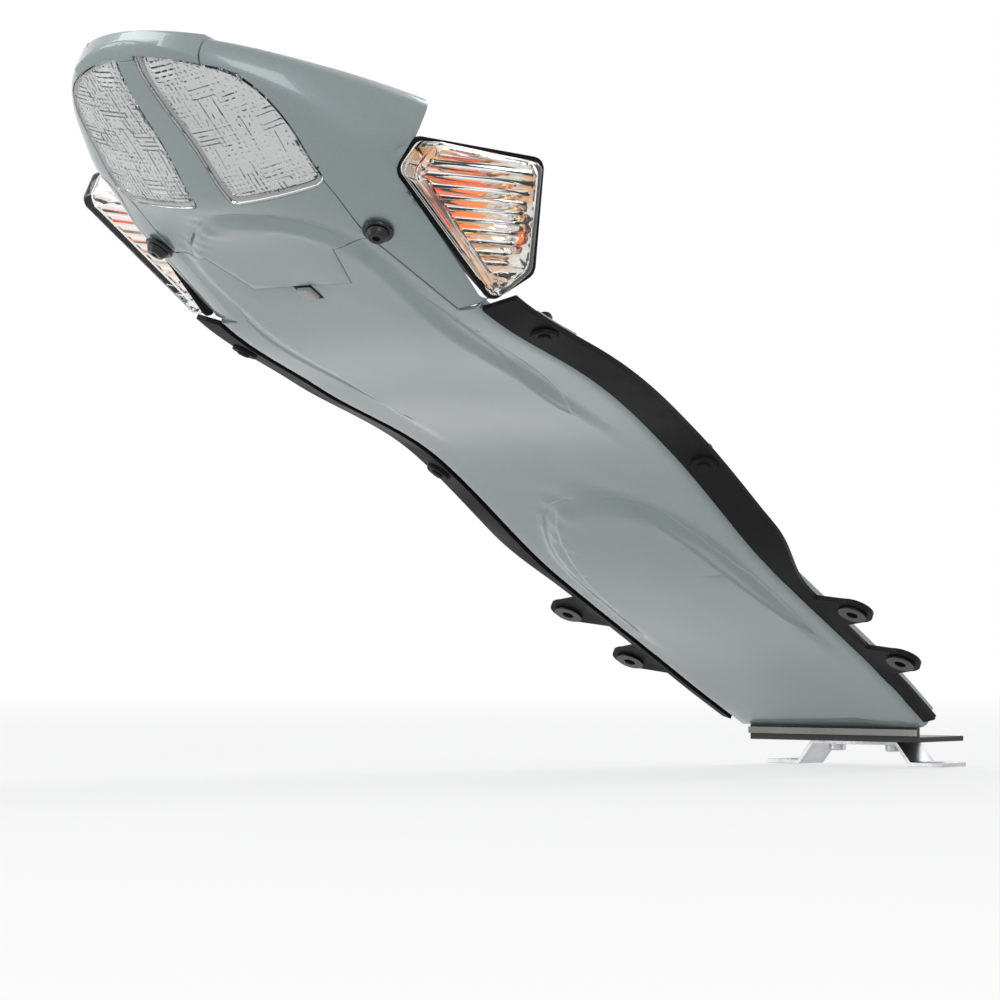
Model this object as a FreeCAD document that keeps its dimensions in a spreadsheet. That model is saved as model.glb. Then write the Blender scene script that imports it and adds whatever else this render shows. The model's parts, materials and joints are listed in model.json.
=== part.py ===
"""Motorcycle undertail: painted moulded shells, tail lamp, turn signals, edge rails and front bracket.

The shells are drawn in a tilted frame that follows the mean slope of the underside:
x to the right, y forward along the slope, z inward (up), with the visible face on the low side.
One placement then turns and moves every shell into the part's own frame.
"""
import FreeCAD, Part
import math
import os

import Sketcher

Vec = FreeCAD.Vector
DOC = FreeCAD.newDocument("undertail")
X_AXIS = Vec(1, 0, 0)
Y_AXIS = Vec(0, 1, 0)
Z_AXIS = Vec(0, 0, 1)

# Driving dimensions, in millimetres and degrees
SIZES = {
    # moulded shells
    "pitch_angle": 29, "shell_wall": 2.5, "seam_gap": 0.6, "seat_gap": 0.3, "flange_reach": 9, "fit_slack": 0.1,
    # keel line: places along the slope and heights
    "nose_at": -352, "nose_keel": 53, "cap_at": -346, "cap_keel": 44, "lens_mid_at": -290,
    "lens_mid_keel": 26.5, "lens_foot_at": -257, "lens_foot_keel": 16.8, "band_at": -218, "band_keel": 20.5,
    "corner_at": -150, "corner_keel": 20, "shoulder_at": -64, "shoulder_keel": 32, "waist_at": 20,
    "waist_keel": 41.3, "belly_at": 140, "belly_keel": 33, "front_at": 270, "front_keel": 35, "end_at": 320,
    # crown of the sections: rise of the side over the keel at crown_half from the middle
    "crown_half": 60, "nose_crown": 14, "lens_mid_crown": 9, "lens_foot_crown": 8.8, "band_crown": 1,
    # half widths of the panel
    "corner_half": 88.6, "shoulder_half": 92.3, "waist_half": 81, "belly_half": 77, "front_half": 72,
    "end_half": 67,
    # panel edges and raised forms
    "edge_radius": 5, "rear_wall_rise": 7, "front_wall_rise": 13,
    "dome_at": -243.6, "dome_nose": 54, "dome_half": 59, "dome_height": 4, "dome_flank": 8,
    "dome_fade_from": -60, "dome_fade_to": 25,
    "bulge_at": 64.5, "bulge_nose": 70, "bulge_half": 60, "bulge_height": 4.5, "bulge_flank": 10,
    "bulge_fade_to": 262,
    # zig-zag seam and corner tips
    "tongue_root_at": -214, "tongue_tip_at": -185, "tongue_root_half": 43.5, "tongue_tip_half": 33.3,
    "seam_half_rear": 66, "seam_flare": 9,
    # plan of the tail end
    "broad_half": 103, "broad_flare": 15, "nose_fullness": 1.6, "deck_tip": 54, "deck_slope": 0.27,
    "deck_radius": 8, "deck_flange": 18, "cap_half": 41, "cap_length": 50, "cap_lift": 1.5,
    "signal_edge_half": 94.5, "deck_round_share": 0.35, "signal_seam_at": -241, "cowl_from": -341,
    "cowl_lead": 10, "cowl_fullness": 0.9, "cowl_side_fullness": 0.62,
    # tail lenses
    "bar_half_top": 6, "bar_half_foot": 11.4, "lens_top_at": -345.7, "lens_shoulder_at": -334,
    "lens_cheek_half": 54, "lens_cheek_at": -323.5, "lens_side_half": 66, "lens_foot_half": 67.5,
    "lens_foot_rise": 3, "lens_wall": 2.6, "bar_drop": 1.7, "lens_corner_side": 8, "lens_corner_bar": 6,
    "lens_lap": 5,
    # tail lamp
    "lamp_depth": 34, "lamp_wall": 2, "lamp_inset": 0.6, "lamp_from": -338, "lamp_clear": 8, "lamp_room": 5,
    "lamp_soft": 3, "lamp_span": 80, "lamp_overrun": 10, "gasket_thick": 1.2, "bulb_half": 34, "bulb_at": -284,
    "bowl_half": 27, "bowl_long": 36, "bowl_deep": 22,
    # bulbs and sockets
    "bulb_radius": 9, "bulb_length": 22, "bulb_base_radius": 7.5, "bulb_base_length": 9, "socket_radius": 11,
    "socket_length": 16, "socket_flange_radius": 14, "socket_flange_thick": 2.5, "bulb_slope_room": 4,
    # turn signals: rim in its own plane, outer face tilted over it
    "signal_x": 97.5, "signal_y": -153, "signal_z": 24.5, "signal_yaw": 6.5, "signal_roll": 19.7,
    "signal_long": 87, "signal_rear_low": 17, "signal_rear_high": 34, "signal_top_along": 21,
    "signal_top": 67.6, "signal_front": 11, "signal_front_high": 23, "signal_proud": 7,
    "signal_swell_along": 0.185, "signal_swell_up": 0.107, "signal_overhang": 5, "signal_wall": 2.4,
    "signal_corner": 5, "signal_depth": 27, "signal_taper": 0.72, "signal_rim": 2, "signal_bulb_along": 36,
    "signal_bulb_high": 29, "signal_seal": 1.9, "signal_bowl_long": 34, "signal_bowl_high": 21,
    "signal_bowl_deep": 17, "signal_inner_corner": 3,
    # edge rails, ears and push rivets
    "rail_thick": 3, "rail_width_rear": 19, "rail_width_front": 7, "rail_tilt": 0.27, "rail_narrow_from": 105,
    "rail_narrow_to": 165, "rail_leg_rise": 11, "rail_leg_from": 74, "rail_end_gap": 6, "ear_one_at": 185.7,
    "ear_two_at": 243.8, "ear_reach_one": 23.8, "ear_reach_two": 21.7, "ear_radius": 11, "ear_thick": 3,
    "bush_bore": 6.4, "bush_radius": 5, "bush_flange_radius": 8, "bush_flange_thick": 1.5,
    "rivet_one_at": -114.2, "rivet_two_at": 40.9, "rivet_reach": 11.5, "rivet_head_radius": 7.2,
    "rivet_head_thick": 1.8, "rivet_shank_radius": 3.8, "rivet_length": 12, "rivet_lead": 0.8,
    "rivet_pin_radius": 2.2, "rivet_pin_head_radius": 3.6, "rivet_pin_head_thick": 0.9, "edge_break": 0.5,
    "hole_clearance": 0.25, "tab_length": 30, "tab_width": 17, "tab_thick": 2.5,
    # cap screws and clip nuts
    "screw_beyond": 7.7, "screw_at": -218.6, "screw_head_radius": 6, "screw_head_thick": 3.6,
    "screw_radius": 3, "screw_length": 16, "washer_radius": 8, "washer_thick": 1.4, "clip_width": 16,
    "clip_thick": 3,
    # plate lamp in the seam notch
    "plate_lamp_half": 5.5, "plate_lamp_long": 11, "plate_lamp_deep": 9, "plate_lens_drop": 2.5,
    "plate_lamp_frame": 1,
    # front plate, seal and hat bracket, in the part's own frame
    "plate_thick": 3, "plate_leg": 42, "plate_half": 59, "plate_reach": 33, "plate_ahead": 14, "seal_thick": 2,
    "plate_riser": 11, "hat_height": 14.5, "hat_sheet": 2.5, "hat_top_half": 30, "hat_ramp": 10, "hat_foot": 22,
    "hat_depth": 24, "foot_hole_radius": 3.3, "hat_bolt_half": 20, "bolt_radius": 3, "bolt_head_radius": 5,
    "bolt_head_thick": 4, "bolt_end": 2, "nut_radius": 5.5, "nut_thick": 5,
}


class Dim:
    """A size with its value and the sheet expression that gives it."""

    def __init__(self, value, text):
        self.value = value
        self.text = text

    def join(self, other, sign, value):
        other_text = other.text if isinstance(other, Dim) else str(other)
        return Dim(value, "(%s %s %s)" % (self.text, sign, other_text))

    def __add__(self, other):
        return self.join(other, "+", self.value + getattr(other, "value", other))

    def __sub__(self, other):
        return self.join(other, "-", self.value - getattr(other, "value", other))

    def __mul__(self, other):
        return self.join(other, "*", self.value * getattr(other, "value", other))


def make_sheet():
    """Writes the driving dimensions to the spreadsheet, one aliased cell each."""
    sheet = DOC.addObject("Spreadsheet::Sheet", "sizes")
    for row, (alias, value) in enumerate(SIZES.items(), start=1):
        sheet.set("A%d" % row, alias)
        sheet.set("B%d" % row, str(value))
        sheet.setAlias("B%d" % row, alias)
    DOC.recompute()
    return sheet


SHEET = make_sheet()


def size(alias):
    """A driving dimension as a number."""
    return float(SHEET.get(alias))


def dim(alias):
    """A driving dimension that a feature can be bound to."""
    return Dim(size(alias), "sizes." + alias)


WALL = size("shell_wall")
GAP = size("seam_gap")
SEAT = size("seat_gap")
SAME_WAY = 1
CLOSE = 2
DEEP = -60
TALL = 200
TINY = 1e-6
HOLE_REACH = 20
COVER_COLUMNS = (8, 16, 24, 32, 39, 46, 52, 58, 64, 70, 77, 84)
NODES = []


# Curves that the shells follow

def smooth_step(value):
    """0 below 0, 1 above 1, with an easy start and end."""
    value = min(1.0, max(0.0, value))
    return value * value * (3 - 2 * value)


def flow(stations, at):
    """A curve through the stations that never overshoots them."""
    places = [size(name) if isinstance(name, str) else name for name, _ in stations]
    values = [size(name) if isinstance(name, str) else name for _, name in stations]
    rises = [(values[i + 1] - values[i]) / (places[i + 1] - places[i]) for i in range(len(places) - 1)]
    slopes = [rises[0]]
    for before, after in zip(rises, rises[1:]):
        slopes.append(2 * before * after / (before + after) if before * after > 0 else 0.0)
    slopes.append(rises[-1])
    span = 0
    while span < len(rises) - 1 and at > places[span + 1]:
        span += 1
    length = places[span + 1] - places[span]
    t = min(1.0, max(0.0, (at - places[span]) / length))
    start = values[span] * (1 + 2 * t) * (1 - t) ** 2 + slopes[span] * length * t * (1 - t) ** 2
    return start + values[span + 1] * t * t * (3 - 2 * t) + slopes[span + 1] * length * t * t * (t - 1)


def keel(y):
    """Height of the visible face on the middle line."""
    names = ("nose", "cap", "lens_mid", "lens_foot", "band", "corner", "shoulder", "waist", "belly", "front")
    stations = [(name + "_at", name + "_keel") for name in names] + [("end_at", "front_keel")]
    return flow(stations, y)


def crown(y):
    """How far a section has risen at crown_half from the middle."""
    names = ("nose", "lens_mid", "lens_foot", "band")
    return flow([(name + "_at", name + "_crown") for name in names] + [("corner_at", 0.0)], y)


def half_width(y):
    """Half width of the painted panel."""
    names = ("corner", "shoulder", "waist", "belly", "front", "end")
    return flow([(name + "_at", name + "_half") for name in names], y)


def base(x, y):
    """Height of the plain underside, without the raised forms."""
    return keel(y) + crown(y) * (x / size("crown_half")) ** 2


def raised(x, y, name, fade):
    """Height of a raised form with a round nose and a sloping flank."""
    behind = max(0.0, (size(name + "_at") + size(name + "_nose") - y) / size(name + "_nose"))
    inside = (1 - math.hypot(x / size(name + "_half"), behind)) * size(name + "_half")
    return size(name + "_height") * smooth_step(inside / size(name + "_flank") + 0.5) * fade


def cover_face(x, y):
    """Visible face of the lower cover and the panel, with the dome and the front bulge."""
    dome_fade = 1 - smooth_step((y - size("dome_fade_from")) / (size("dome_fade_to") - size("dome_fade_from")))
    bulge_run = (size("bulge_fade_to") - y) / (size("bulge_fade_to") - size("bulge_at") - size("bulge_nose"))
    return base(x, y) - raised(x, y, "dome", dome_fade) - raised(x, y, "bulge", smooth_step(bulge_run))


def seam_front_half():
    """Half distance between the corner tips."""
    return size("seam_half_rear") + size("seam_flare")


def screw_half():
    """Half distance between the cap screws."""
    return size("seam_half_rear") + size("screw_beyond")


def plan_half(y):
    """Half width of the tail end at the deck, seen from above."""
    broad = size("band_at")
    if y >= broad:
        return size("broad_half") + size("broad_flare") * (y - broad) / (size("corner_at") - broad)
    run = min(1.0, (broad - y) / (broad - size("nose_at")))
    return size("broad_half") * math.sqrt(max(0.0, 1 - run ** size("nose_fullness")))


def deck(y):
    """Height of the deck edge."""
    return size("deck_tip") + size("deck_slope") * (y - size("nose_at"))


# Building blocks

def paced_curve(points, pace):
    """A smooth curve that reaches each point at a given parameter."""
    curve = Part.BSplineCurve()
    curve.interpolate(Points=points, Parameters=pace)
    return curve


def face_through(rows):
    """A smooth face through a grid of points whose rows each lie at one y."""
    across = [float(i) for i in range(len(rows[0]))]
    along = [row[0].y for row in rows]
    row_curves = [paced_curve(row, across) for row in rows]
    columns = zip(*[curve.getPoles() for curve in row_curves])
    lines = [paced_curve(list(column), along) for column in columns]
    line, row = lines[0], row_curves[0]
    poles = [list(spots) for spots in zip(*[curve.getPoles() for curve in lines])]
    surface = Part.BSplineSurface()
    surface.buildFromPolesMultsKnots(poles, line.getMultiplicities(), row.getMultiplicities(), line.getKnots(),
                                     row.getKnots(), False, False, line.Degree, row.Degree)
    return surface


def slab(outer, inner):
    """A closed wall between two grids of points."""
    faces = [face_through(outer), face_through(inner)]
    shells = [surface.toShape() for surface in faces]
    sides = []
    for pick in ("uIso", "vIso"):
        for end in (0, 1):
            edges = []
            for surface in faces:
                low, high = surface.bounds()[:2] if pick == "uIso" else surface.bounds()[2:]
                edges.append(getattr(surface, pick)((low, high)[end]).toShape())
            sides.append(Part.makeRuledSurface(edges[0], edges[1], SAME_WAY))
    shell = Part.Shell(shells + sides)
    shell.sewShape()
    solid = Part.Solid(shell)
    if solid.Volume < 0:
        solid.reverse()
    return solid


def spread(low, high, count):
    """Evenly spaced values from low to high."""
    return [low + (high - low) * i / (count - 1) for i in range(count)]


def even_points(path, count):
    """Points at even steps along a path of (x, z, inward x, inward z, closeness of the steps)."""
    runs = [0.0]
    for here, after in zip(path, path[1:]):
        runs.append(runs[-1] + math.hypot(after[0] - here[0], after[1] - here[1]) * after[4])
    points = []
    span = 0
    for run in spread(0, runs[-1], count):
        while span < len(path) - 2 and run > runs[span + 1]:
            span += 1
        share = (run - runs[span]) / (runs[span + 1] - runs[span])
        points.append([here + (after - here) * share for here, after in zip(path[span], path[span + 1])])
    return points


def inset_points(path, count, y, inset):
    """Even points of a section at y, moved inward by an inset."""
    return [Vec(x + inset * dx, y, z + inset * dz) for x, z, dx, dz, _ in even_points(path, count)]


def sheet_between(lower, upper, xs, ys):
    """A slab between two height functions over a grid."""
    grids = [[[Vec(x, y, height(x, y)) for x in xs] for y in ys] for height in (lower, upper)]
    return slab(grids[0], grids[1])


def prism(points, low=DEEP, high=TALL):
    """An upright prism over a closed plan outline, straight between its points."""
    wire = Part.makePolygon([Vec(x, y, low) for x, y in points] + [Vec(points[0][0], points[0][1], low)])
    return Part.Face(wire).extrude(Vec(0, 0, high - low))


def mirrored(points):
    """The outline of a right half completed with its left half."""
    return points + [(-x, y) for x, y in reversed(points) if abs(x) > TINY]


def flipped(shape):
    """The left-hand copy of a right-hand piece."""
    return shape.mirror(Vec(0, 0, 0), X_AXIS)


def bar_along(radius, length, place, axis):
    """A round bar."""
    return Part.makeCylinder(radius, length, place, axis)


def drilled(radius, place, axis):
    """A bar that cuts a clear hole for a shank through a place."""
    wide = radius + size("hole_clearance")
    return bar_along(wide, 2 * HOLE_REACH, place - axis * HOLE_REACH, axis)


def tilt_frame():
    """Places the tilted frame so that the inner face at the panel's end meets the front plate."""
    turn = FreeCAD.Rotation(X_AXIS, -size("pitch_angle"))
    end = turn.multVec(Vec(0, size("end_at"), size("front_keel") + WALL + SEAT))
    target = Vec(0, -size("plate_reach"), size("hat_height") + size("plate_riser"))
    return FreeCAD.Placement(target - end, turn)


FRAME = tilt_frame()


def add_shell(label, shape):
    """Adds a shape drawn in the tilted frame as a sub-part."""
    node = DOC.addObject("Part::Feature", label)
    node.Label = label
    place = FRAME.multiply(shape.Placement)
    node.Shape = shape
    node.Placement = place
    NODES.append(node)


def add_pair(label, shape):
    """Adds a right-hand piece and its mirrored twin."""
    add_shell(label + "_right", shape)
    add_shell(label + "_left", flipped(shape))


# Panel and lower cover

def wall_rise(y):
    """Height of the panel's upturned side."""
    run = smooth_step((y - size("waist_at")) / (size("bulge_at") - size("waist_at")))
    return size("rear_wall_rise") + (size("front_wall_rise") - size("rear_wall_rise")) * run


def panel_section(y, inset):
    """Right half of the panel's section, from the middle to the top of the side wall."""
    half = half_width(y)
    radius = size("edge_radius")
    path = []
    for x in spread(0, half - radius, 60):
        close = CLOSE if abs(x - size("dome_half")) < size("dome_flank") else 1
        path.append((x, cover_face(x, y), 0, 1, close))
    low = cover_face(half - radius, y)
    for angle in spread(0, 90, 9)[1:]:
        across, down = math.sin(math.radians(angle)), math.cos(math.radians(angle))
        path.append((half - radius + radius * across, low + radius - radius * down, -across, down, CLOSE))
    path.append((half, low + wall_rise(y), -1, 0, 1))
    return inset_points(path, 19, y, inset)


def panel_sheet():
    """The panel's whole moulded wall, before its rear outline is cut."""
    rear, corner = size("tongue_root_at") - size("flange_reach") / 2, size("corner_at")
    swell = size("bulge_at") - size("bulge_flank")
    crest = size("bulge_at") + size("bulge_nose")
    rows = spread(rear, corner, 6)[:-1] + spread(corner, swell, 12)[:-1] + spread(swell, crest, 9)[:-1]
    rows += spread(crest, size("end_at"), 9)
    grids = []
    for inset in (0, WALL):
        grid = []
        for y in rows:
            right = panel_section(y, inset)
            left = [Vec(-point.x, y, point.z) for point in reversed(right[1:])]
            grid.append(left + right)
        grids.append(grid)
    return slab(grids[0], grids[1])


def seam_outline(inset):
    """Right half of the zig-zag seam, from the corner tip to the middle; inset moves it forward."""
    return [
        (seam_front_half() - inset, size("corner_at") + inset),
        (size("seam_half_rear") - inset, size("tongue_root_at") + inset),
        (size("tongue_root_half") + inset, size("tongue_root_at") + inset),
        (size("tongue_tip_half"), size("tongue_tip_at") + inset),
        (0, size("tongue_tip_at") + inset),
    ]


def rail_height(x, y):
    """Outer face of the edge rail: it leaves the panel's edge and tips inward."""
    return keel(y) + size("rail_tilt") * (abs(x) - half_width(y))


def rivet_places():
    """Right-hand push rivets: place on the rail's face and direction out of it."""
    places = []
    for name in ("rivet_one_at", "rivet_two_at"):
        y = size(name)
        x = half_width(y) + size("rivet_reach")
        along = (rail_height(x, y + 1) - rail_height(x, y - 1)) / 2
        outward = Vec(size("rail_tilt"), along, -1)
        outward.normalize()
        places.append((Vec(x, y, rail_height(x, y)), outward))
    return places


def rivet_tab(y):
    """Tab on the panel that a push rivet grips behind the rail."""
    depth = size("rail_thick") + SEAT
    ys = spread(y - size("tab_length") / 2, y + size("tab_length") / 2, 4)
    grids = []
    for extra in (depth, depth + size("tab_thick")):
        grid = []
        for place in ys:
            edge = half_width(place)
            xs = spread(edge - WALL / 2, edge + size("tab_width"), 3)
            grid.append([Vec(x, place, rail_height(x, place) + extra) for x in xs])
        grids.append(grid)
    return slab(grids[0], grids[1])


def notch(clearance):
    """Plan of the plate lamp's notch in the panel's seam."""
    half = size("plate_lamp_half") + clearance
    rear = size("tongue_tip_at") - GAP
    front = size("tongue_tip_at") + size("plate_lamp_long") + clearance
    return [(-half, rear), (half, rear), (half, front), (-half, front)]


def make_panel():
    """The painted undertail panel with its seam, notch, tabs and rivet holes."""
    outer = size("shoulder_half") + size("tab_width")
    keep = [(outer, size("end_at") + 1), (outer, size("corner_at"))] + seam_outline(0)
    body = panel_sheet().common(prism(mirrored(keep)))
    tabs = [rivet_tab(size(name)) for name in ("rivet_one_at", "rivet_two_at")]
    body = body.fuse(tabs + [flipped(tab) for tab in tabs])
    holes = []
    for place, outward in rivet_places():
        hole = drilled(size("rivet_shank_radius"), place, outward)
        holes += [hole, flipped(hole)]
    add_shell("undertail_panel", body.cut(holes + [prism(notch(GAP))]).removeSplitter())


def lens_foot_line(x):
    """Lower edge of the lenses, which rises a little towards the side."""
    return size("lens_foot_at") + size("lens_foot_rise") * x / size("lens_foot_half")


def cover_outline(inset):
    """Right half of the lower cover, bar, lower band and tongue, lapping the lens's room."""
    foot = size("bar_half_foot")
    seam = size("seam_half_rear")
    lap = size("lens_lap")
    return [
        (0, size("lens_top_at") + size("bar_drop") + inset),
        (size("bar_half_top") + lap, size("lens_top_at") + size("bar_drop") + inset),
        (foot + lap, lens_foot_line(foot) - lap),
        (seam - inset, lens_foot_line(seam) - lap),
        (seam - inset, size("tongue_root_at") - inset),
        (size("tongue_root_half") - inset, size("tongue_root_at") - inset),
        (size("tongue_tip_half") - inset, size("tongue_tip_at") - inset),
        (0, size("tongue_tip_at") - inset),
    ]


def cover_sheet(low, high):
    """A sheet that follows the lower cover between two depths below its visible face."""
    xs = [-x for x in reversed(COVER_COLUMNS)] + [0] + list(COVER_COLUMNS)
    foot, front = size("lens_foot_at"), size("tongue_tip_at") + 1.5 * size("flange_reach")
    ys = spread(size("lens_top_at") - WALL, foot - 2 * WALL, 6) + spread(foot - WALL / 2, front, 17)
    ear = size("screw_at") - size("flange_reach")

    def height(x, y):
        return cover_face(x, y) + side_rise(x, y) * smooth_step((y - foot) / (ear - foot))
    return sheet_between(lambda x, y: height(x, y) + low, lambda x, y: height(x, y) + high, xs, ys)


def flange_outline(inside):
    """Right half of the joggled flange behind the seam; inside is how far it reaches under the cover."""
    reach = size("flange_reach")
    root, tip, screw = size("tongue_root_at"), size("tongue_tip_at"), size("screw_at")
    seam, ear = size("seam_half_rear"), screw_half() + reach / 2
    return [
        (0, tip + reach), (size("tongue_tip_half") + reach / 2, tip + reach),
        (size("tongue_root_half") + reach, root + reach), (seam - inside, root + reach),
        (ear, screw + reach / 2), (ear, screw - reach), (seam - inside, screw - reach),
        (seam - inside, root - inside), (size("tongue_root_half") - inside, root - inside),
        (size("tongue_tip_half") - inside, tip - inside), (0, tip - inside),
    ]


def make_lower_cover():
    """The painted cover under the lenses, with the joggled flange that the panel and cowls sit on."""
    flange_low = WALL + 2.5 * SEAT
    flange_high = flange_low + WALL
    bite = WALL / 4
    lens = lens_prism(GAP / 2)
    outline = prism(mirrored(cover_outline(GAP / 2))).cut([lens, flipped(lens)])
    ring = prism(mirrored(flange_outline(size("flange_reach"))))
    skin = cover_sheet(0, WALL).common(outline)
    step = cover_sheet(WALL - bite, flange_high).common(ring.common(outline))
    flange = cover_sheet(flange_low, flange_high).common(ring)
    hole = screw_hole()
    body = skin.fuse([step, flange]).cut([hole, flipped(hole), prism(notch(GAP))])
    add_shell("lamp_lower_cover", body.removeSplitter())


# Tail end: lenses, cowls and cap

def lens_curve(offset):
    """Outer edge of the right lens from the cap to its foot, moved outward by an offset."""
    stations = [
        (size("bar_half_top"), size("lens_top_at")), (size("cap_half"), size("lens_shoulder_at")),
        (size("lens_cheek_half"), size("lens_cheek_at")), (size("lens_side_half"), size("lens_mid_at")),
        (size("lens_foot_half"), lens_foot_line(size("lens_foot_half"))),
    ]
    outward = [(-1, -1), (0.45, -0.9), (0.75, -0.65), (0.98, -0.2), (1, 1)]
    return [Vec(x + offset * dx, y + offset * dy, 0) for (x, y), (dx, dy) in zip(stations, outward)]


def rounded_upright(block, corner, radius):
    """Rounds the upright edge of a prism at one corner of its plan."""
    edges = []
    for edge in block.Edges:
        middle = edge.CenterOfMass
        if math.hypot(middle.x - corner.x, middle.y - corner.y) < TINY:
            edges.append(edge)
    return block.makeFillet(radius, edges)


def lens_prism(offset):
    """An upright prism over the right lens's outline, with its lower corners rounded."""
    points = lens_curve(offset)
    curve = Part.BSplineCurve()
    curve.interpolate(points)
    foot = Vec(size("bar_half_foot") - offset, lens_foot_line(size("bar_half_foot")) + offset, 0)
    edges = [curve.toShape()]
    edges += [Part.makeLine(points[-1], foot), Part.makeLine(foot, points[0])]
    block = upright(Part.Face(Part.Wire(edges)))
    block = rounded_upright(block, points[-1], size("lens_corner_side") + offset)
    return rounded_upright(block, foot, size("lens_corner_bar") + offset)


def upright(face):
    """A tall prism over a plan face."""
    face.translate(Vec(0, 0, DEEP))
    return face.extrude(Vec(0, 0, TALL - DEEP))


def lamp_sheet(low, high):
    """A sheet that follows the lenses between two depths below their face."""
    xs = spread(-size("lamp_span"), size("lamp_span"), 11)
    ys = spread(size("nose_at") + WALL / 2, size("lens_foot_at") + size("lamp_overrun"), 10)
    return sheet_between(lambda x, y: base(x, y) + low, lambda x, y: base(x, y) + high, xs, ys)


def make_lenses():
    """The two clear tail lenses, flush with the shells round them."""
    lens = lamp_sheet(0, size("lens_wall")).common(lens_prism(-GAP / 2))
    add_pair("tail_lens", lens)


def lamp_back(x, y):
    """Back of the lamp housing, which bends over smoothly to stay under the deck."""
    soft = size("lamp_soft")
    plain, limit = base(x, y) + size("lamp_depth"), deck(y) - size("lamp_room")
    return -soft * math.log(math.exp(-plain / soft) + math.exp(-limit / soft))


def lamp_block(front, inset):
    """The room behind the lenses from a depth under their face, shrunk by an inset at its back."""
    xs = spread(-size("lamp_span"), size("lamp_span"), 11)
    ys = spread(size("lamp_from") + inset, size("lens_foot_at") + size("lamp_overrun"), 10)
    return sheet_between(lambda x, y: base(x, y) + front, lambda x, y: lamp_back(x, y) - inset, xs, ys)


def lamp_plan(inset):
    """Plan of the lamp behind the right lens, clear of the cowl near the nose."""
    rows = spread(size("lamp_from"), size("lens_foot_at") + size("lamp_overrun"), 9)
    edge = [(plan_half(y) - size("lamp_clear") - inset, y) for y in rows]
    return lens_prism(-size("lamp_inset") - inset).common(prism([(0, rows[0])] + edge + [(0, rows[-1])]))


def bowl_form(across, along, deep):
    """A half-egg that hollows a reflector."""
    stretch = FreeCAD.Matrix()
    stretch.scale(across, along, deep)
    return Part.makeSphere(1).transformGeometry(stretch)


def make_lamp():
    """Housing, gasket and bright reflector bowls behind the tail lenses."""
    front = size("lens_wall") + size("gasket_thick") + 2 * SEAT
    wall = size("lamp_wall")
    bar = size("bar_half_foot") + wall
    back, foot = size("lamp_from"), size("lens_foot_at")
    bridge = prism([(-bar, back), (bar, back), (bar, foot), (-bar, foot)])
    outer = lamp_plan(0)
    hollow = lamp_plan(wall)
    block = lamp_block(front, 0).common(outer.fuse([flipped(outer), bridge]))
    housing = block.cut(lamp_block(front - wall, wall).common(hollow.fuse(flipped(hollow))))
    bulb = Vec(size("bulb_half"), size("bulb_at"), 0)
    hole = bar_along(size("socket_radius") + size("hole_clearance"), TALL, bulb, Z_AXIS)
    add_shell("tail_lamp_housing", biggest(housing.cut([hole, flipped(hole)])))
    ring = lens_prism(-size("lamp_inset")).cut(lens_prism(-size("lamp_inset") - wall))
    gasket = lamp_sheet(size("lens_wall") + SEAT, front - SEAT).common(ring)
    add_pair("tail_gasket", biggest(gasket))
    deep = size("bowl_deep")
    solid = lamp_block(front + SEAT, wall + 3 * SEAT).common(lamp_plan(wall + 2 * SEAT))
    bowl = bowl_form(size("bowl_half"), size("bowl_long"), deep)
    slope = (keel(bulb.y + deep) - keel(bulb.y - deep)) / (2 * deep)
    bowl.rotate(Vec(0, 0, 0), X_AXIS, math.degrees(math.atan(slope)))
    bowl.translate(Vec(bulb.x, bulb.y, base(bulb.x, bulb.y) + front))
    add_pair("tail_reflector", biggest(solid.cut([bowl, hole])))


def biggest(shape):
    """The largest solid of a shape."""
    return max(shape.Solids, key=lambda solid: solid.Volume)


def cowl_side(y):
    """The curve of the right cowl's side, from beside the lens up to the deck's round edge."""
    stations = [("cap_at", "bar_half_top"), ("lens_shoulder_at", "cap_half"), ("lens_mid_at", "lens_side_half"),
                ("band_at", "seam_half_rear"), ("corner_at", seam_front_half())]
    start = flow(stations, y) - size("cowl_lead")
    side = plan_half(y)
    start = max(size("bar_half_top"), min(start, side - 2.5 * size("cowl_lead")))
    top = deck(y) - deck_round(y)
    low = base(start, y)
    slope = 2 * crown(y) * start / size("crown_half") ** 2
    run = size("cowl_fullness") * (side - start)
    rise = size("cowl_side_fullness") * (top - low)
    curve = Part.BezierCurve()
    curve.setPoles([Vec(start, y, low), Vec(start + run, y, low + slope * run), Vec(side, y, top - rise),
                    Vec(side, y, top)])
    return curve


def deck_round(y):
    """Radius of the deck's edge, smaller near the nose where the side is low."""
    return min(size("deck_radius"), size("deck_round_share") * (deck(y) - base(plan_half(y), y)))


def cowl_section(y, inset):
    """Right cowl's section: round the side, over the deck edge and inward."""
    curve = cowl_side(y)
    path = []
    for run in spread(0, 1, 25):
        spot = curve.value(run)
        lean = curve.tangent(run)[0]
        path.append((spot.x, spot.z, -lean.z, lean.x, 1))
    side, top, radius = plan_half(y), deck(y), deck_round(y)
    for angle in spread(0, 90, 9)[1:]:
        across, up = math.cos(math.radians(angle)), math.sin(math.radians(angle))
        path.append((side - radius + radius * across, top - radius + radius * up, -across, -up, CLOSE))
    path.append((side - radius - min(size("deck_flange"), side / 3), top, 0, -1, 1))
    return inset_points(path, 14, y, inset)


def side_rise(x, y):
    """How far the cowl's side stands over the plain underside."""
    if y < size("lens_foot_at"):
        return 0.0
    curve = cowl_side(y)
    low, high = 0.0, 1.0
    if abs(x) <= curve.value(0).x:
        return 0.0
    for _ in range(30):
        middle = (low + high) / 2
        low, high = (middle, high) if curve.value(middle).x < abs(x) else (low, middle)
    return curve.value(low).z - base(x, y)


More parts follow.
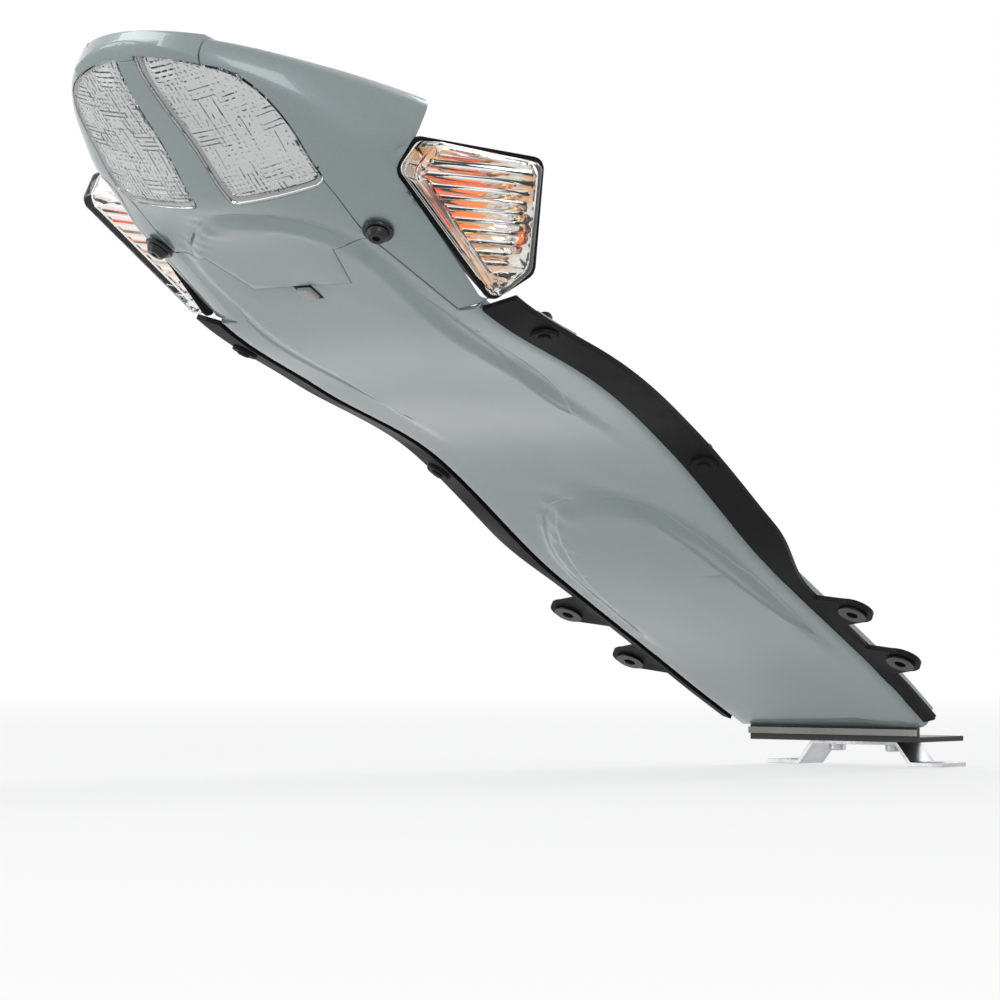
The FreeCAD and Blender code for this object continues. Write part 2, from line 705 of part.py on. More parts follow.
def screw_place():
    """Right cap screw: place on the cowl's face and direction out of it."""
    def face(x, y):
        return base(x, y) + side_rise(x, y)
    x, y = screw_half(), size("screw_at")
    outward = Vec((face(x + 1, y) - face(x - 1, y)) / 2, (face(x, y + 1) - face(x, y - 1)) / 2, -1)
    outward.normalize()
    return Vec(x, y, face(x, y)), outward


def screw_hole():
    """Hole for the right cap screw."""
    place, outward = screw_place()
    return drilled(size("screw_radius"), place, outward)


def cowl_outline():
    """Plan of the right cowl between the seams and the turn signal, lapping the lens's room."""
    gap = GAP / 2
    lap = size("lens_lap")
    nose = size("nose_at") - size("deck_radius")
    far = size("broad_half") + 2 * size("broad_flare")
    edge, seam = size("signal_edge_half"), size("seam_half_rear") + gap
    return prism([
        (size("cap_half") + gap, nose), (far, nose),
        (far, size("signal_seam_at")), (edge, size("signal_seam_at")),
        (edge, size("corner_at") - GAP), (seam_front_half() + gap, size("corner_at") - GAP),
        (seam, size("tongue_root_at")), (seam, lens_foot_line(seam) - 2 * lap),
        (size("lens_side_half") - lap, size("lens_mid_at")),
        (size("lens_cheek_half") - lap, size("lens_cheek_at") + lap),
        (size("cap_half") + gap, size("lens_shoulder_at") + lap),
    ])


def make_cowls():
    """The painted side cowls with their corner pieces."""
    nose, seam, tip = size("cowl_from"), size("signal_seam_at"), size("corner_at")
    lead = nose + 3 * size("cowl_lead")
    rows = spread(nose, lead, 6) + spread(lead, seam, 6)[1:] + spread(seam, tip, 7)[1:]
    grids = [[cowl_section(y, inset) for y in rows] for inset in (0, WALL)]
    body = slab(grids[0], grids[1]).common(cowl_outline())
    far = size("broad_half") + size("broad_flare")
    over = prism([(0, seam), (far, seam), (far, tip), (0, tip)], size("deck_tip"), TALL)
    body = biggest(body.cut([lens_prism(GAP / 2), screw_hole(), signal_pocket(), over]))
    add_pair("side_cowl", body)


def make_cap():
    """The painted nose cap over the lenses, with its deck plate."""
    half = size("cap_half") - GAP / 2
    rows = spread(size("lens_shoulder_at"), size("nose_at") + WALL, 4)
    nose = [Vec(-plan_half(y), y, 0) for y in rows]
    nose += [Vec(0, size("nose_at"), 0)] + [Vec(plan_half(y), y, 0) for y in reversed(rows)]
    curve = Part.BSplineCurve()
    curve.interpolate(nose)
    back = size("nose_at") + size("cap_length")
    loop = [nose[-1], Vec(nose[-1].x, back, 0), Vec(nose[0].x, back, 0), nose[0]]
    edges = [curve.toShape()] + [Part.makeLine(a, b) for a, b in zip(loop, loop[1:])]
    plan = upright(Part.Face(Part.Wire(edges)))
    wide, lift = 1.5 * size("cap_half"), size("cap_lift")
    xs = spread(-wide, wide, 9)
    ys = spread(size("nose_at") - WALL, back + WALL, 9)
    solid = sheet_between(base, lambda x, y: deck(y) + lift, xs, ys)
    hollow = sheet_between(lambda x, y: base(x, y) - 2 * WALL, lambda x, y: deck(y) + lift - WALL, xs, ys)
    gap = GAP / 2
    bar, top = size("bar_half_top") + GAP, size("lens_top_at") + size("bar_drop") - gap
    shoulder, before = size("lens_shoulder_at"), size("nose_at") - size("cap_length")
    room = lens_prism(gap)
    room = room.fuse([flipped(room), prism([(-bar, top), (bar, top), (bar, back), (-bar, back)]),
                      prism([(-wide, shoulder), (wide, shoulder), (wide, back + wide), (-wide, back + wide)])])
    body = solid.cut(hollow.common(room)).common(plan)
    body = body.common(prism([(-half, before), (half, before), (half, back), (-half, back)]))
    add_shell("tail_top_cap", biggest(body))


# Turn signals

def signal_frame():
    """Plane of the right signal's rim: its first axis runs forward, its third one out of the lens."""
    yaw = FreeCAD.Rotation(Z_AXIS, -size("signal_yaw"))
    roll = FreeCAD.Rotation(Y_AXIS, size("signal_roll"))
    upright = FreeCAD.Rotation(Y_AXIS, Z_AXIS, X_AXIS, "ZXY")
    turn = roll.multiply(yaw).multiply(upright)
    return FreeCAD.Placement(Vec(size("signal_x"), size("signal_y"), size("signal_z")), turn)


def signal_rim(grow):
    """Corners of the rim outline, moved outward by an amount."""
    points = [(0, 0), (size("signal_front"), size("signal_front_high")),
              (-size("signal_top_along"), size("signal_top")), (-size("signal_long"), size("signal_rear_high")),
              (-size("signal_long"), size("signal_rear_low"))]
    return grown(points, grow)


def grown(points, amount):
    """An outline with every side moved outward."""
    moved = []
    count = len(points)
    for i in range(count):
        before, here, after = points[i - 1], points[i], points[(i + 1) % count]
        sides = []
        for start, end in ((before, here), (here, after)):
            length = math.hypot(end[0] - start[0], end[1] - start[1])
            sides.append(((end[1] - start[1]) / length, (start[0] - end[0]) / length))
        cosine = sides[0][0] * sides[1][0] + sides[0][1] * sides[1][1]
        reach = amount / (1 + cosine)
        moved.append((here[0] + reach * (sides[0][0] + sides[1][0]),
                      here[1] + reach * (sides[0][1] + sides[1][1])))
    return moved


def round_wire(points, radius):
    """A closed wire through corner points (x, y, z) with rounded corners."""
    count = len(points)
    edges = []
    corners = []
    for i in range(count):
        before, here, after = (Vec(*points[j % count]) for j in (i - 1, i, i + 1))
        to_before = (before - here).normalize()
        to_after = (after - here).normalize()
        half = to_before.getAngle(to_after) / 2
        setback = radius / math.tan(half)
        middle = (to_before + to_after).normalize()
        inner = here + middle * (radius / math.sin(half) - radius)
        corners.append((here + to_before * setback, inner, here + to_after * setback))
    for i in range(count):
        start, inner, end = corners[i]
        edges.append(Part.Arc(start, inner, end).toShape())
        edges.append(Part.makeLine(end, corners[(i + 1) % count][0]))
    return Part.Wire(edges)


def signal_pod(inset):
    """The lens's outer form, or its hollow when inset by the wall: rim, tilted face and rounded edge."""
    over = size("signal_overhang")
    outer = signal_rim(-inset)
    outer[4] = (outer[4][0] - over, outer[4][1] - over / 2)
    outer[3] = (outer[3][0] - over * 0.2, outer[3][1] + over / 2)
    corner = size("signal_corner")
    wires = [round_wire([(x, y, 0) for x, y in signal_rim(-inset)], corner)]
    for angle in (0, 30, 60, 90):
        turn = math.radians(angle)
        ring = []
        for x, y in grown(outer, -corner * 0.6 * (1 - math.cos(turn)) - corner * 0.1):
            rise = size("signal_proud") - size("signal_swell_along") * x - size("signal_swell_up") * y
            ring.append((x, y, rise - inset - corner * 0.5 * (1 - math.sin(turn))))
        wires.append(round_wire(ring, corner))
    return Part.makeLoft(wires, True, True)


def rim_prism(grow, low, high):
    """A straight prism over the rim outline."""
    radius = size("signal_corner") + max(grow, -size("signal_wall"))
    wire = round_wire([(x, y, low) for x, y in signal_rim(grow)], radius)
    return Part.Face(wire).extrude(Vec(0, 0, high - low))


def tapered(grow, low, high):
    """A form that narrows from the rim inward."""
    middle = (-size("signal_bulb_along"), size("signal_bulb_high"))
    wide = [(x, y, high) for x, y in signal_rim(grow)]
    taper = size("signal_taper")
    narrow = []
    for x, y in signal_rim(grow):
        narrow.append((middle[0] + (x - middle[0]) * taper, middle[1] + (y - middle[1]) * taper, low))
    corner = size("signal_inner_corner")
    return Part.makeLoft([round_wire(narrow, corner), round_wire(wide, corner)], True, True)


def place_signal(shape):
    """Moves a shape from the signal's rim plane to its place."""
    shape.Placement = signal_frame()
    return shape


def signal_pocket():
    """Room for the signal in the cowl."""
    return place_signal(rim_prism(size("signal_rim") + GAP, -3 * HOLE_REACH, 3 * HOLE_REACH))


def make_signals():
    """Lens, gasket, reflector and housing of the turn signals."""
    hollow = signal_pod(size("signal_wall"))
    hollow.translate(Vec(0, 0, -SEAT))
    add_pair("signal_lens", place_signal(signal_pod(0).cut(hollow)))
    rim = size("signal_rim")
    seal = size("signal_seal")
    gasket = rim_prism(rim, -seal - SEAT, -SEAT).cut(rim_prism(-size("signal_wall"), -2 * seal, seal))
    add_pair("signal_gasket", place_signal(gasket))
    high = -seal - 2 * SEAT
    low = -size("signal_depth")
    wall = size("lamp_wall")
    axis_at = Vec(-size("signal_bulb_along"), size("signal_bulb_high"), low)
    hole = drilled(size("socket_radius"), axis_at, Z_AXIS)
    edge = rim - size("edge_break")
    housing = tapered(edge, low, high).cut(tapered(edge - wall, low + wall, high + TINY))
    add_pair("signal_housing", place_signal(housing.cut(hole)))
    block = tapered(rim - 2 * wall, low + wall + SEAT, high - SEAT)
    bowl = bowl_form(size("signal_bowl_long"), size("signal_bowl_high"), size("signal_bowl_deep"))
    bowl.translate(Vec(axis_at.x, axis_at.y, high))
    add_pair("signal_reflector", place_signal(biggest(block.cut([bowl, hole]))))


# Edge rails, ears and bushes

def rail_width(y):
    """Width of the edge rail."""
    run = smooth_step((y - size("rail_narrow_from")) / (size("rail_narrow_to") - size("rail_narrow_from")))
    return size("rail_width_rear") + (size("rail_width_front") - size("rail_width_rear")) * run


def rail_strip(rows, width, depth):
    """A strip of the right rail beside the panel's edge."""
    grids = []
    for extra in (0, depth):
        grid = []
        for y in rows:
            edge = half_width(y) + GAP
            grid.append([Vec(x, y, rail_height(x, y) + extra) for x in spread(edge, edge + width(y), 3)])
        grids.append(grid)
    return slab(grids[0], grids[1])


def ear_places():
    """Centres of the right-hand ears on their outer faces."""
    places = []
    for name in ("one", "two"):
        y = size("ear_%s_at" % name)
        places.append(Vec(half_width(y) + size("ear_reach_" + name), y, keel(y) + size("ear_thick") / 2))
    return places


def ear_plate(place):
    """A rounded ear that reaches out from the rail."""
    radius = size("ear_radius")
    root = half_width(place.y) + GAP + size("rail_thick") / 2
    low, high = place.z, place.z + size("ear_thick")
    corners = [(root, place.y - 1.5 * radius), (place.x, place.y - radius), (place.x, place.y + radius),
               (root, place.y + 1.5 * radius)]
    return prism(corners, low, high).fuse(bar_along(radius, high - low, place, Z_AXIS))


def make_rails():
    """The black edge rails with their legs, ears and rivet holes."""
    rear, front = size("corner_at") + 2 * GAP, size("end_at") - size("rail_end_gap")
    strip = rail_strip(spread(rear, front, 26), rail_width, size("rail_thick"))
    leg_rows = spread(size("rail_leg_from"), front, 14)
    leg = rail_strip(leg_rows, lambda y: WALL, size("rail_leg_rise"))
    body = strip.fuse([leg] + [ear_plate(place) for place in ear_places()])
    cuts = []
    for place, outward in rivet_places():
        cuts.append(drilled(size("rivet_shank_radius"), place, outward))
    for place in ear_places():
        cuts.append(drilled(size("bush_radius"), place, Z_AXIS))
    add_pair("side_rail", biggest(body.cut(cuts)))


# Turned pieces and fasteners

def new_body(name):
    """A body with its own origin planes."""
    return DOC.addObject("PartDesign::Body", name)


def plane_of(body, role):
    """One of a body's origin planes."""
    return next(item for item in body.Origin.OriginFeatures if item.Role == role)


def pin_down(sketch, geometry, vertex, across, up):
    """Binds one point of a sketch to two sizes measured from the sketch's origin."""
    for kind, axis, measure in (("DistanceX", -2, across), ("DistanceY", -1, up)):
        if abs(measure.value) < TINY:
            sketch.addConstraint(Sketcher.Constraint("PointOnObject", geometry, vertex, axis))
            continue
        ends = (-1, 1, geometry, vertex) if measure.value > 0 else (geometry, vertex, -1, 1)
        index = sketch.addConstraint(Sketcher.Constraint(kind, *ends, abs(measure.value)))
        text = measure.text if measure.value > 0 else "-" + measure.text
        sketch.setExpression("Constraints[%d]" % index, text)


def profile(body, role, points):
    """A closed sketch of straight lines whose corners are bound to sizes."""
    sketch = body.newObject("Sketcher::SketchObject", body.Name + "_profile")
    sketch.AttachmentSupport = (plane_of(body, role), [""])
    sketch.MapMode = "FlatFace"
    spots = [Vec(across.value, up.value, 0) for across, up in points]
    count = len(spots)
    for i in range(count):
        sketch.addGeometry(Part.LineSegment(spots[i], spots[(i + 1) % count]), False)
    for i in range(count):
        sketch.addConstraint(Sketcher.Constraint("Coincident", i, 2, (i + 1) % count, 1))
    for i, (across, up) in enumerate(points):
        pin_down(sketch, i, 1, across, up)
    return sketch


ZERO = Dim(0.0, "0")


def turned(name, points):
    """A body turned about its own Z axis from a profile of (radius, height) sizes."""
    body = new_body(name)
    sketch = profile(body, "XZ_Plane", points)
    turn = body.newObject("PartDesign::Revolution", name + "_turn")
    turn.Profile = sketch
    turn.ReferenceAxis = (sketch, ["V_Axis"])
    turn.Angle = 360
    DOC.recompute()
    return body


def aim(place, axis):
    """A placement that puts a turned piece's Z axis along a direction of the tilted frame."""
    return FreeCAD.Placement(place, FreeCAD.Rotation(Z_AXIS, axis))


def add_copies(label, master, placements):
    """Adds a group of like pieces, one solid for each placement in the part's frame."""
    copies = []
    for placement in placements:
        copy = master.Shape.copy()
        copy.Placement = placement
        copies.append(copy)
    node = DOC.addObject("Part::Feature", label)
    node.Label = label
    node.Shape = Part.makeCompound(copies)
    NODES.append(node)


def both_sides(spots, depth):
    """Placements of a fastener on both sides, its origin a depth behind each face."""
    placements = []
    for place, outward in spots:
        for hand in (1, -1):
            axis = Vec(outward.x * hand, outward.y, outward.z)
            at = Vec(place.x * hand, place.y, place.z) - axis * depth
            placements.append(FRAME.multiply(aim(at, axis)))
    return placements


def make_rivets():
    """Black push rivets along the rails: split bodies and their pins."""
    length, head, slack = dim("rivet_length"), dim("rivet_head_thick"), dim("fit_slack")
    bore = dim("rivet_pin_radius") + slack
    shank, rim = dim("rivet_shank_radius"), dim("rivet_head_radius")
    body = turned("push_rivet", [
        (bore, ZERO), (shank - dim("rivet_lead"), ZERO), (shank, head), (shank, length), (rim, length),
        (rim - dim("edge_break"), length + head), (bore, length + head)])
    pin, pin_rim = dim("rivet_pin_radius"), dim("rivet_pin_head_radius")
    top = length + head + slack
    crest = top + dim("rivet_pin_head_thick")
    pin_body = turned("push_pin", [
        (ZERO, head), (pin, head), (pin, top), (pin_rim, top),
        (pin_rim - dim("edge_break"), crest), (ZERO, crest)])
    depth = size("rivet_length") - size("fit_slack")
    add_copies("push_rivet_bodies", body, both_sides(rivet_places(), depth))
    add_copies("push_rivet_pins", pin_body, both_sides(rivet_places(), depth))


def make_screws():
    """Button-head screws, washers and clip nuts that hold the cowls to the lower cover."""
    length, head, slack = dim("screw_length"), dim("screw_head_thick"), dim("fit_slack")
    rim, shank = dim("screw_head_radius"), dim("screw_radius")
    key = shank * 0.65
    floor, shoulder, crest = length + head * 0.4, length + head * 0.45, length + head
    screw = turned("cap_screw", [
        (ZERO, ZERO), (shank, ZERO), (shank, length), (rim, length), (rim * 0.92, shoulder),
        (rim * 0.68, crest), (key, crest), (key, floor), (ZERO, floor)])
    hole, washer_rim, washer_thick = shank + slack * 2, dim("washer_radius"), dim("washer_thick")
    washer = turned("cap_washer", [
        (hole, ZERO), (washer_rim, ZERO), (washer_rim - dim("edge_break"), washer_thick),
        (hole, washer_thick)])
    spot = [screw_place()]
    lift = 3 * SEAT
    add_copies("cap_washers", washer, both_sides(spot, -lift))
    depth = size("screw_length") - size("washer_thick") - lift - size("fit_slack")
    add_copies("cap_screws", screw, both_sides(spot, depth))
    plate = DOC.addObject("Part::Box", "clip_plate")
    plate.setExpression("Length", "sizes.clip_width")
    plate.setExpression("Width", "sizes.clip_width")
    plate.setExpression("Height", "sizes.clip_thick")
    plate.setExpression(".Placement.Base.x", "-sizes.clip_width / 2")
    plate.setExpression(".Placement.Base.y", "-sizes.clip_width / 2")
    bore = DOC.addObject("Part::Cylinder", "clip_bore")
    bore.setExpression("Radius", "sizes.screw_radius + sizes.fit_slack")
    bore.setExpression("Height", "sizes.clip_thick")
    clip = DOC.addObject("Part::Cut", "clip_nut")
    clip.Base = plate
    clip.Tool = bore
    DOC.recompute()
    behind = 2 * WALL + 6 * SEAT + size("clip_thick")
    add_copies("clip_nuts", clip, both_sides(spot, behind))


def make_bulbs():
    """Bulbs and sockets of the tail lamp and the signals."""
    radius, length = dim("bulb_radius"), dim("bulb_length")
    stem, stem_length = dim("bulb_base_radius"), dim("bulb_base_length")
    bulb_form = [(ZERO, ZERO), (stem, ZERO), (stem, stem_length), (radius, stem_length + stem * 0.5),
                 (radius, length - radius * 0.6), (radius * 0.8, length - radius * 0.2), (radius * 0.4, length),
                 (ZERO, length)]
    barrel, barrel_length = dim("socket_radius"), dim("socket_length")
    rim, rim_thick = dim("socket_flange_radius"), dim("socket_flange_thick")
    seat = stem + dim("fit_slack") * 2
    cup = barrel_length - stem_length
    socket_form = [(ZERO, ZERO), (rim * 0.8, ZERO), (rim, rim_thick), (rim, rim_thick * 2),
                   (barrel, rim_thick * 2), (barrel, barrel_length), (seat, barrel_length), (seat, cup),
                   (ZERO, cup)]
    frame = signal_frame()
    for hand, side in ((1, "right"), (-1, "left")):
        middle = Vec(size("bulb_half") * hand, size("bulb_at"), 0)
        back = base(middle.x, middle.y) + size("lamp_depth") + SEAT * 2 + size("bulb_slope_room")
        back += 2 * size("socket_flange_thick")
        tail_at = aim(Vec(middle.x, middle.y, back), Z_AXIS * -1)
        spot = frame.multVec(Vec(-size("signal_bulb_along"), size("signal_bulb_high"),
                                 -size("signal_depth") - SEAT - 2 * size("socket_flange_thick")))
        axis = frame.Rotation.multVec(Z_AXIS)
        signal_at = aim(Vec(spot.x * hand, spot.y, spot.z), Vec(axis.x * hand, axis.y, axis.z))
        for lamp, place in (("tail", tail_at), ("signal", signal_at)):
            socket = turned("%s_socket_%s" % (lamp, side), socket_form)
            socket.Placement = FRAME.multiply(place)
            bulb = turned("%s_bulb_%s" % (lamp, side), bulb_form)
            lift = size("socket_length") - size("bulb_base_length") + size("fit_slack")
            seated = FreeCAD.Placement(Vec(0, 0, lift), FreeCAD.Rotation())
            bulb.Placement = FRAME.multiply(place).multiply(seated)
            for node in (socket, bulb):
                node.Label = node.Name
                NODES.append(node)


def make_bushes():
    """Steel bushes in the ears."""
    bore = dim("bush_bore") * 0.5
    rim, rim_thick = dim("bush_flange_radius"), dim("bush_flange_thick")
    tube = rim_thick + dim("ear_thick") + dim("bush_flange_thick")
    bush = turned("ear_bush", [(bore, ZERO), (rim, ZERO), (rim, rim_thick), (dim("bush_radius"), rim_thick),
                               (dim("bush_radius"), tube), (bore, tube)])
    placements = []
    for place in ear_places():
        for hand in (1, -1):
            at = Vec(place.x * hand, place.y, place.z - size("bush_flange_thick") - size("fit_slack"))
            placements.append(FRAME.multiply(FreeCAD.Placement(at, FreeCAD.Rotation())))
    add_copies("ear_bushes", bush, placements)


# Plate lamp

def make_plate_lamp():
    """The small lamp in the notch of the seam."""
    half, frame = size("plate_lamp_half"), size("plate_lamp_frame")
    start = size("tongue_tip_at")
    front = start + size("plate_lamp_long")
    face = cover_face(0, (start + front) / 2)
    body = prism([(-half, start), (half, start), (half, front), (-half, front)], face,
                 face + size("plate_lamp_deep"))
    uprights = [edge for edge in body.Edges if edge.BoundBox.ZLength > TINY]
    add_shell("plate_lamp_body", body.makeFillet(frame, uprights))
    inner, low = half - frame, face - size("plate_lens_drop")
    rear, fore = start + frame, front - frame
    lens = prism([(-inner, rear), (inner, rear), (inner, fore), (-inner, fore)], low, face)
    rounds = [edge for edge in lens.Edges if edge.BoundBox.ZMin < face - TINY]
    add_shell("plate_lamp_lens", lens.makeFillet(size("plate_lens_drop") * 0.45, rounds))


# Front plate, seal and hat bracket

def add_body(label, body):
    """Adds a body drawn in the part's own frame as a sub-part."""
    body.Label = label
    NODES.append(body)


def make_front_plate():
    """The bent plate that lies inside the panel's end and bolts to the bracket, and the strip beside it."""
    pitch = math.radians(size("pitch_angle"))
    thick, reach = size("plate_thick"), size("plate_reach")
    bend = Vec(0, -reach, size("hat_height") + size("plate_riser"))
    leg = Vec(0, -math.cos(pitch), math.sin(pitch)) * size("plate_leg")
    up = Vec(0, math.sin(pitch), math.cos(pitch)) * thick
    miter = Vec(0, 1, math.tan((math.pi / 2 - pitch) / 2)) * thick
    foot = Vec(0, -reach, size("hat_height"))
    toe = Vec(0, size("plate_ahead"), size("hat_height"))
    corners = [bend + leg, bend, foot, toe, toe + Vec(0, 0, thick), foot + Vec(0, thick, thick), bend + miter,
               bend + leg + up]
    half = size("plate_half")
    corners = [corner - Vec(half, 0, 0) for corner in corners]
    plate = Part.Face(Part.makePolygon(corners + corners[:1])).extrude(Vec(2 * half, 0, 0))
    holes = []
    for hand in (1, -1):
        spot = Vec(hand * size("hat_bolt_half"), 0, size("hat_height"))
        holes.append(drilled(size("bolt_radius"), spot, Z_AXIS))
    node = DOC.addObject("Part::Feature", "front_plate")
    node.Shape = plate.cut(holes)
    add_body("front_plate", node)
    strip = DOC.addObject("Part::Box", "end_seal")
    strip.setExpression("Length", "2 * sizes.plate_half")
    strip.setExpression("Width", "sizes.seal_thick")
    strip.setExpression("Height", "sizes.plate_riser / 3")
    strip.setExpression(".Placement.Base.x", "-sizes.plate_half")
    strip.setExpression(".Placement.Base.y", "-sizes.plate_reach - sizes.seal_thick")
    strip.setExpression(".Placement.Base.z", "sizes.hat_height + sizes.plate_riser / 3")
    add_body("end_seal", strip)


def make_bracket():
    """The bright hat bracket with its two mounting holes, folded from sheet."""
    body = new_body("front_bracket")
    top, ramp, foot = dim("hat_top_half"), dim("hat_ramp"), dim("hat_foot")
    high, sheet = dim("hat_height"), dim("hat_sheet")
    right = [(top + ramp + foot, ZERO), (top + ramp + foot, sheet), (top + ramp, sheet), (top, high)]
    under = sheet * 0.4
    below = [(top - under, high - sheet), (top + ramp - under, ZERO)]
    left_top = [(x * -1, z) for x, z in reversed(right)]
    left_below = [(x * -1, z) for x, z in reversed(below)]
    sketch = profile(body, "XZ_Plane", right + left_top + left_below + below)
    pad = body.newObject("PartDesign::Pad", "hat_pad")
    pad.Profile = sketch
    pad.setExpression("Length", "sizes.hat_depth")
    pad.SideType = "Symmetric"
    DOC.recompute()
    holes = body.newObject("Sketcher::SketchObject", "hat_holes")
    holes.AttachmentSupport = (plane_of(body, "XY_Plane"), [""])
    holes.MapMode = "FlatFace"
    foot_hole, bolt_hole = top + ramp + foot * 0.5, dim("hat_bolt_half")
    bolt_clear = dim("bolt_radius") + dim("hole_clearance")
    spots = [(foot_hole, dim("foot_hole_radius")), (foot_hole * -1, dim("foot_hole_radius")),
             (bolt_hole, bolt_clear), (bolt_hole * -1, bolt_clear)]
    for place, radius in spots:
        index = holes.addGeometry(Part.Circle(Vec(place.value, 0, 0), Z_AXIS, radius.value), False)
        pin_down(holes, index, 3, place, ZERO)
        bound = holes.addConstraint(Sketcher.Constraint("Radius", index, radius.value))
        holes.setExpression("Constraints[%d]" % bound, radius.text)
    before = body.Shape.Volume
    pocket = body.newObject("PartDesign::Pocket", "hat_drill")
    pocket.Profile = holes
    pocket.Type = 1
    pocket.SideType = "Symmetric"
    DOC.recompute()
    if body.Shape.Volume >= before:
        raise RuntimeError("bracket holes cut nothing")
    add_body("front_bracket", body)


def bolt_spots(height):
    """Placements on the two bracket bolts' axes at a height."""
    half = size("hat_bolt_half")
    return [FreeCAD.Placement(Vec(hand * half, 0, height), FreeCAD.Rotation()) for hand in (1, -1)]


def make_front_fasteners():
    """Bolts from under the bracket and nuts on the plate."""
    shank, rim, head = dim("bolt_radius"), dim("bolt_head_radius"), dim("bolt_head_thick")
    run = head + dim("hat_sheet") + dim("plate_thick") + dim("nut_thick") + dim("bolt_end")
    bolt = turned("front_bolt", [
        (ZERO, ZERO), (rim * 0.9, ZERO), (rim, head * 0.2), (rim, head), (shank, head), (shank, run),
        (ZERO, run)])
    under = size("hat_height") - size("hat_sheet") - size("bolt_head_thick") - size("fit_slack")
    add_copies("front_bolts", bolt, bolt_spots(under))
    hexagon = DOC.addObject("Part::Prism", "nut_hexagon")
    hexagon.Polygon = 6
    hexagon.setExpression("Circumradius", "sizes.nut_radius")
    hexagon.setExpression("Height", "sizes.nut_thick")
    bore = DOC.addObject("Part::Cylinder", "nut_bore")
    bore.setExpression("Radius", "sizes.bolt_radius + sizes.fit_slack")
    bore.setExpression("Height", "sizes.nut_thick")
    nut = DOC.addObject("Part::Cut", "front_nut")
    nut.Base = hexagon
    nut.Tool = bore
    DOC.recompute()
    over = size("hat_height") + size("plate_thick") + size("fit_slack")
    add_copies("front_nuts", nut, bolt_spots(over))


make_panel()
make_lower_cover()
make_lenses()
make_lamp()
make_cowls()
make_cap()
make_signals()
make_rails()
make_rivets()
make_screws()
make_bulbs()
make_bushes()
make_plate_lamp()
make_front_plate()
make_bracket()
make_front_fasteners()


def check_and_write():
    """Checks every object and sub-part, then writes one file for each sub-part."""
    DOC.recompute()
    for item in DOC.Objects:
        if "Invalid" in item.State or "Error" in item.State:
            raise RuntimeError("failed: " + item.Label)
    bad = [node.Label for node in NODES if node.Shape.isNull() or not node.Shape.isValid()]
    if bad:
        raise RuntimeError("bad shapes: " + ", ".join(bad))
    os.makedirs("parts", exist_ok=True)
    for node in NODES:
        node.Shape.exportStep("parts/%s.step" % node.Label)


check_and_write()
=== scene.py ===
"""Studio scene of a motorcycle undertail: painted shells, lamps, edge rails and front bracket."""

import json
import logging
import math
from dataclasses import dataclass, field
from enum import Enum

import bmesh
import bpy
from mathutils import Matrix, Vector
from mathutils.kdtree import KDTree


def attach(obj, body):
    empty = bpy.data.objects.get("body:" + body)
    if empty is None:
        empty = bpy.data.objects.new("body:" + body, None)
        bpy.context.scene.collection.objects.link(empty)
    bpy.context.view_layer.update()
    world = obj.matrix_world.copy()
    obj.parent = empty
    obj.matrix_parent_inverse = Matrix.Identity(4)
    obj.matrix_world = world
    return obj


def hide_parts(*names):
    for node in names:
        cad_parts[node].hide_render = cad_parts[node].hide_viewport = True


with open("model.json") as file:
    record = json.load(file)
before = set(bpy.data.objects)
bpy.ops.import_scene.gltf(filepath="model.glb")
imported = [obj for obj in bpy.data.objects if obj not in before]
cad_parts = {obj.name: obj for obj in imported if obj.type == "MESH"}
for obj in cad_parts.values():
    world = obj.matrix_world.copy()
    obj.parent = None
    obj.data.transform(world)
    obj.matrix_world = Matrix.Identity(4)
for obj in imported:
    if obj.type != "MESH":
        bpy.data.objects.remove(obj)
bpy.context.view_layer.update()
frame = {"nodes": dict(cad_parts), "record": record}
LOG = logging.getLogger("undertail")
BODY = "root"
MM = 0.001
TILT = Matrix.Translation((0, -331.2041 * MM, 147.5785 * MM)) @ Matrix.Rotation(math.radians(-29), 4, "X")
TILT_BACK = TILT.inverted()
ACROSS, ALONG, INWARD = (TILT.to_3x3() @ Vector(way) for way in ((1, 0, 0), (0, 1, 0), (0, 0, 1)))
LENS_FACING = 0.6


# Shader maths

class Wire:
    """A shader value whose operators add the maths nodes they need."""

    def __init__(self, graph: "Graph", socket: bpy.types.NodeSocket) -> None:
        """Keeps the graph and the socket that gives the value."""
        self.graph = graph
        self.socket = socket

    def maths(self, operation: str, first: "Wire | float", second: "Wire | float") -> "Wire":
        """Adds a Math node.

        Args:
            operation: the node's operation.
            first: its first value.
            second: its second value.

        Returns:
            The node's result.
        """
        return self.graph.add("ShaderNodeMath", {"operation": operation}, {0: first, 1: second})

    def __add__(self, other: "Wire | float") -> "Wire":
        """Sum."""
        return self.maths("ADD", self, other)

    __radd__ = __add__

    def __mul__(self, other: "Wire | float") -> "Wire":
        """Product."""
        return self.maths("MULTIPLY", self, other)

    __rmul__ = __mul__

    def larger(self, other: "Wire | float") -> "Wire":
        """The larger of two values."""
        return self.maths("MAXIMUM", self, other)


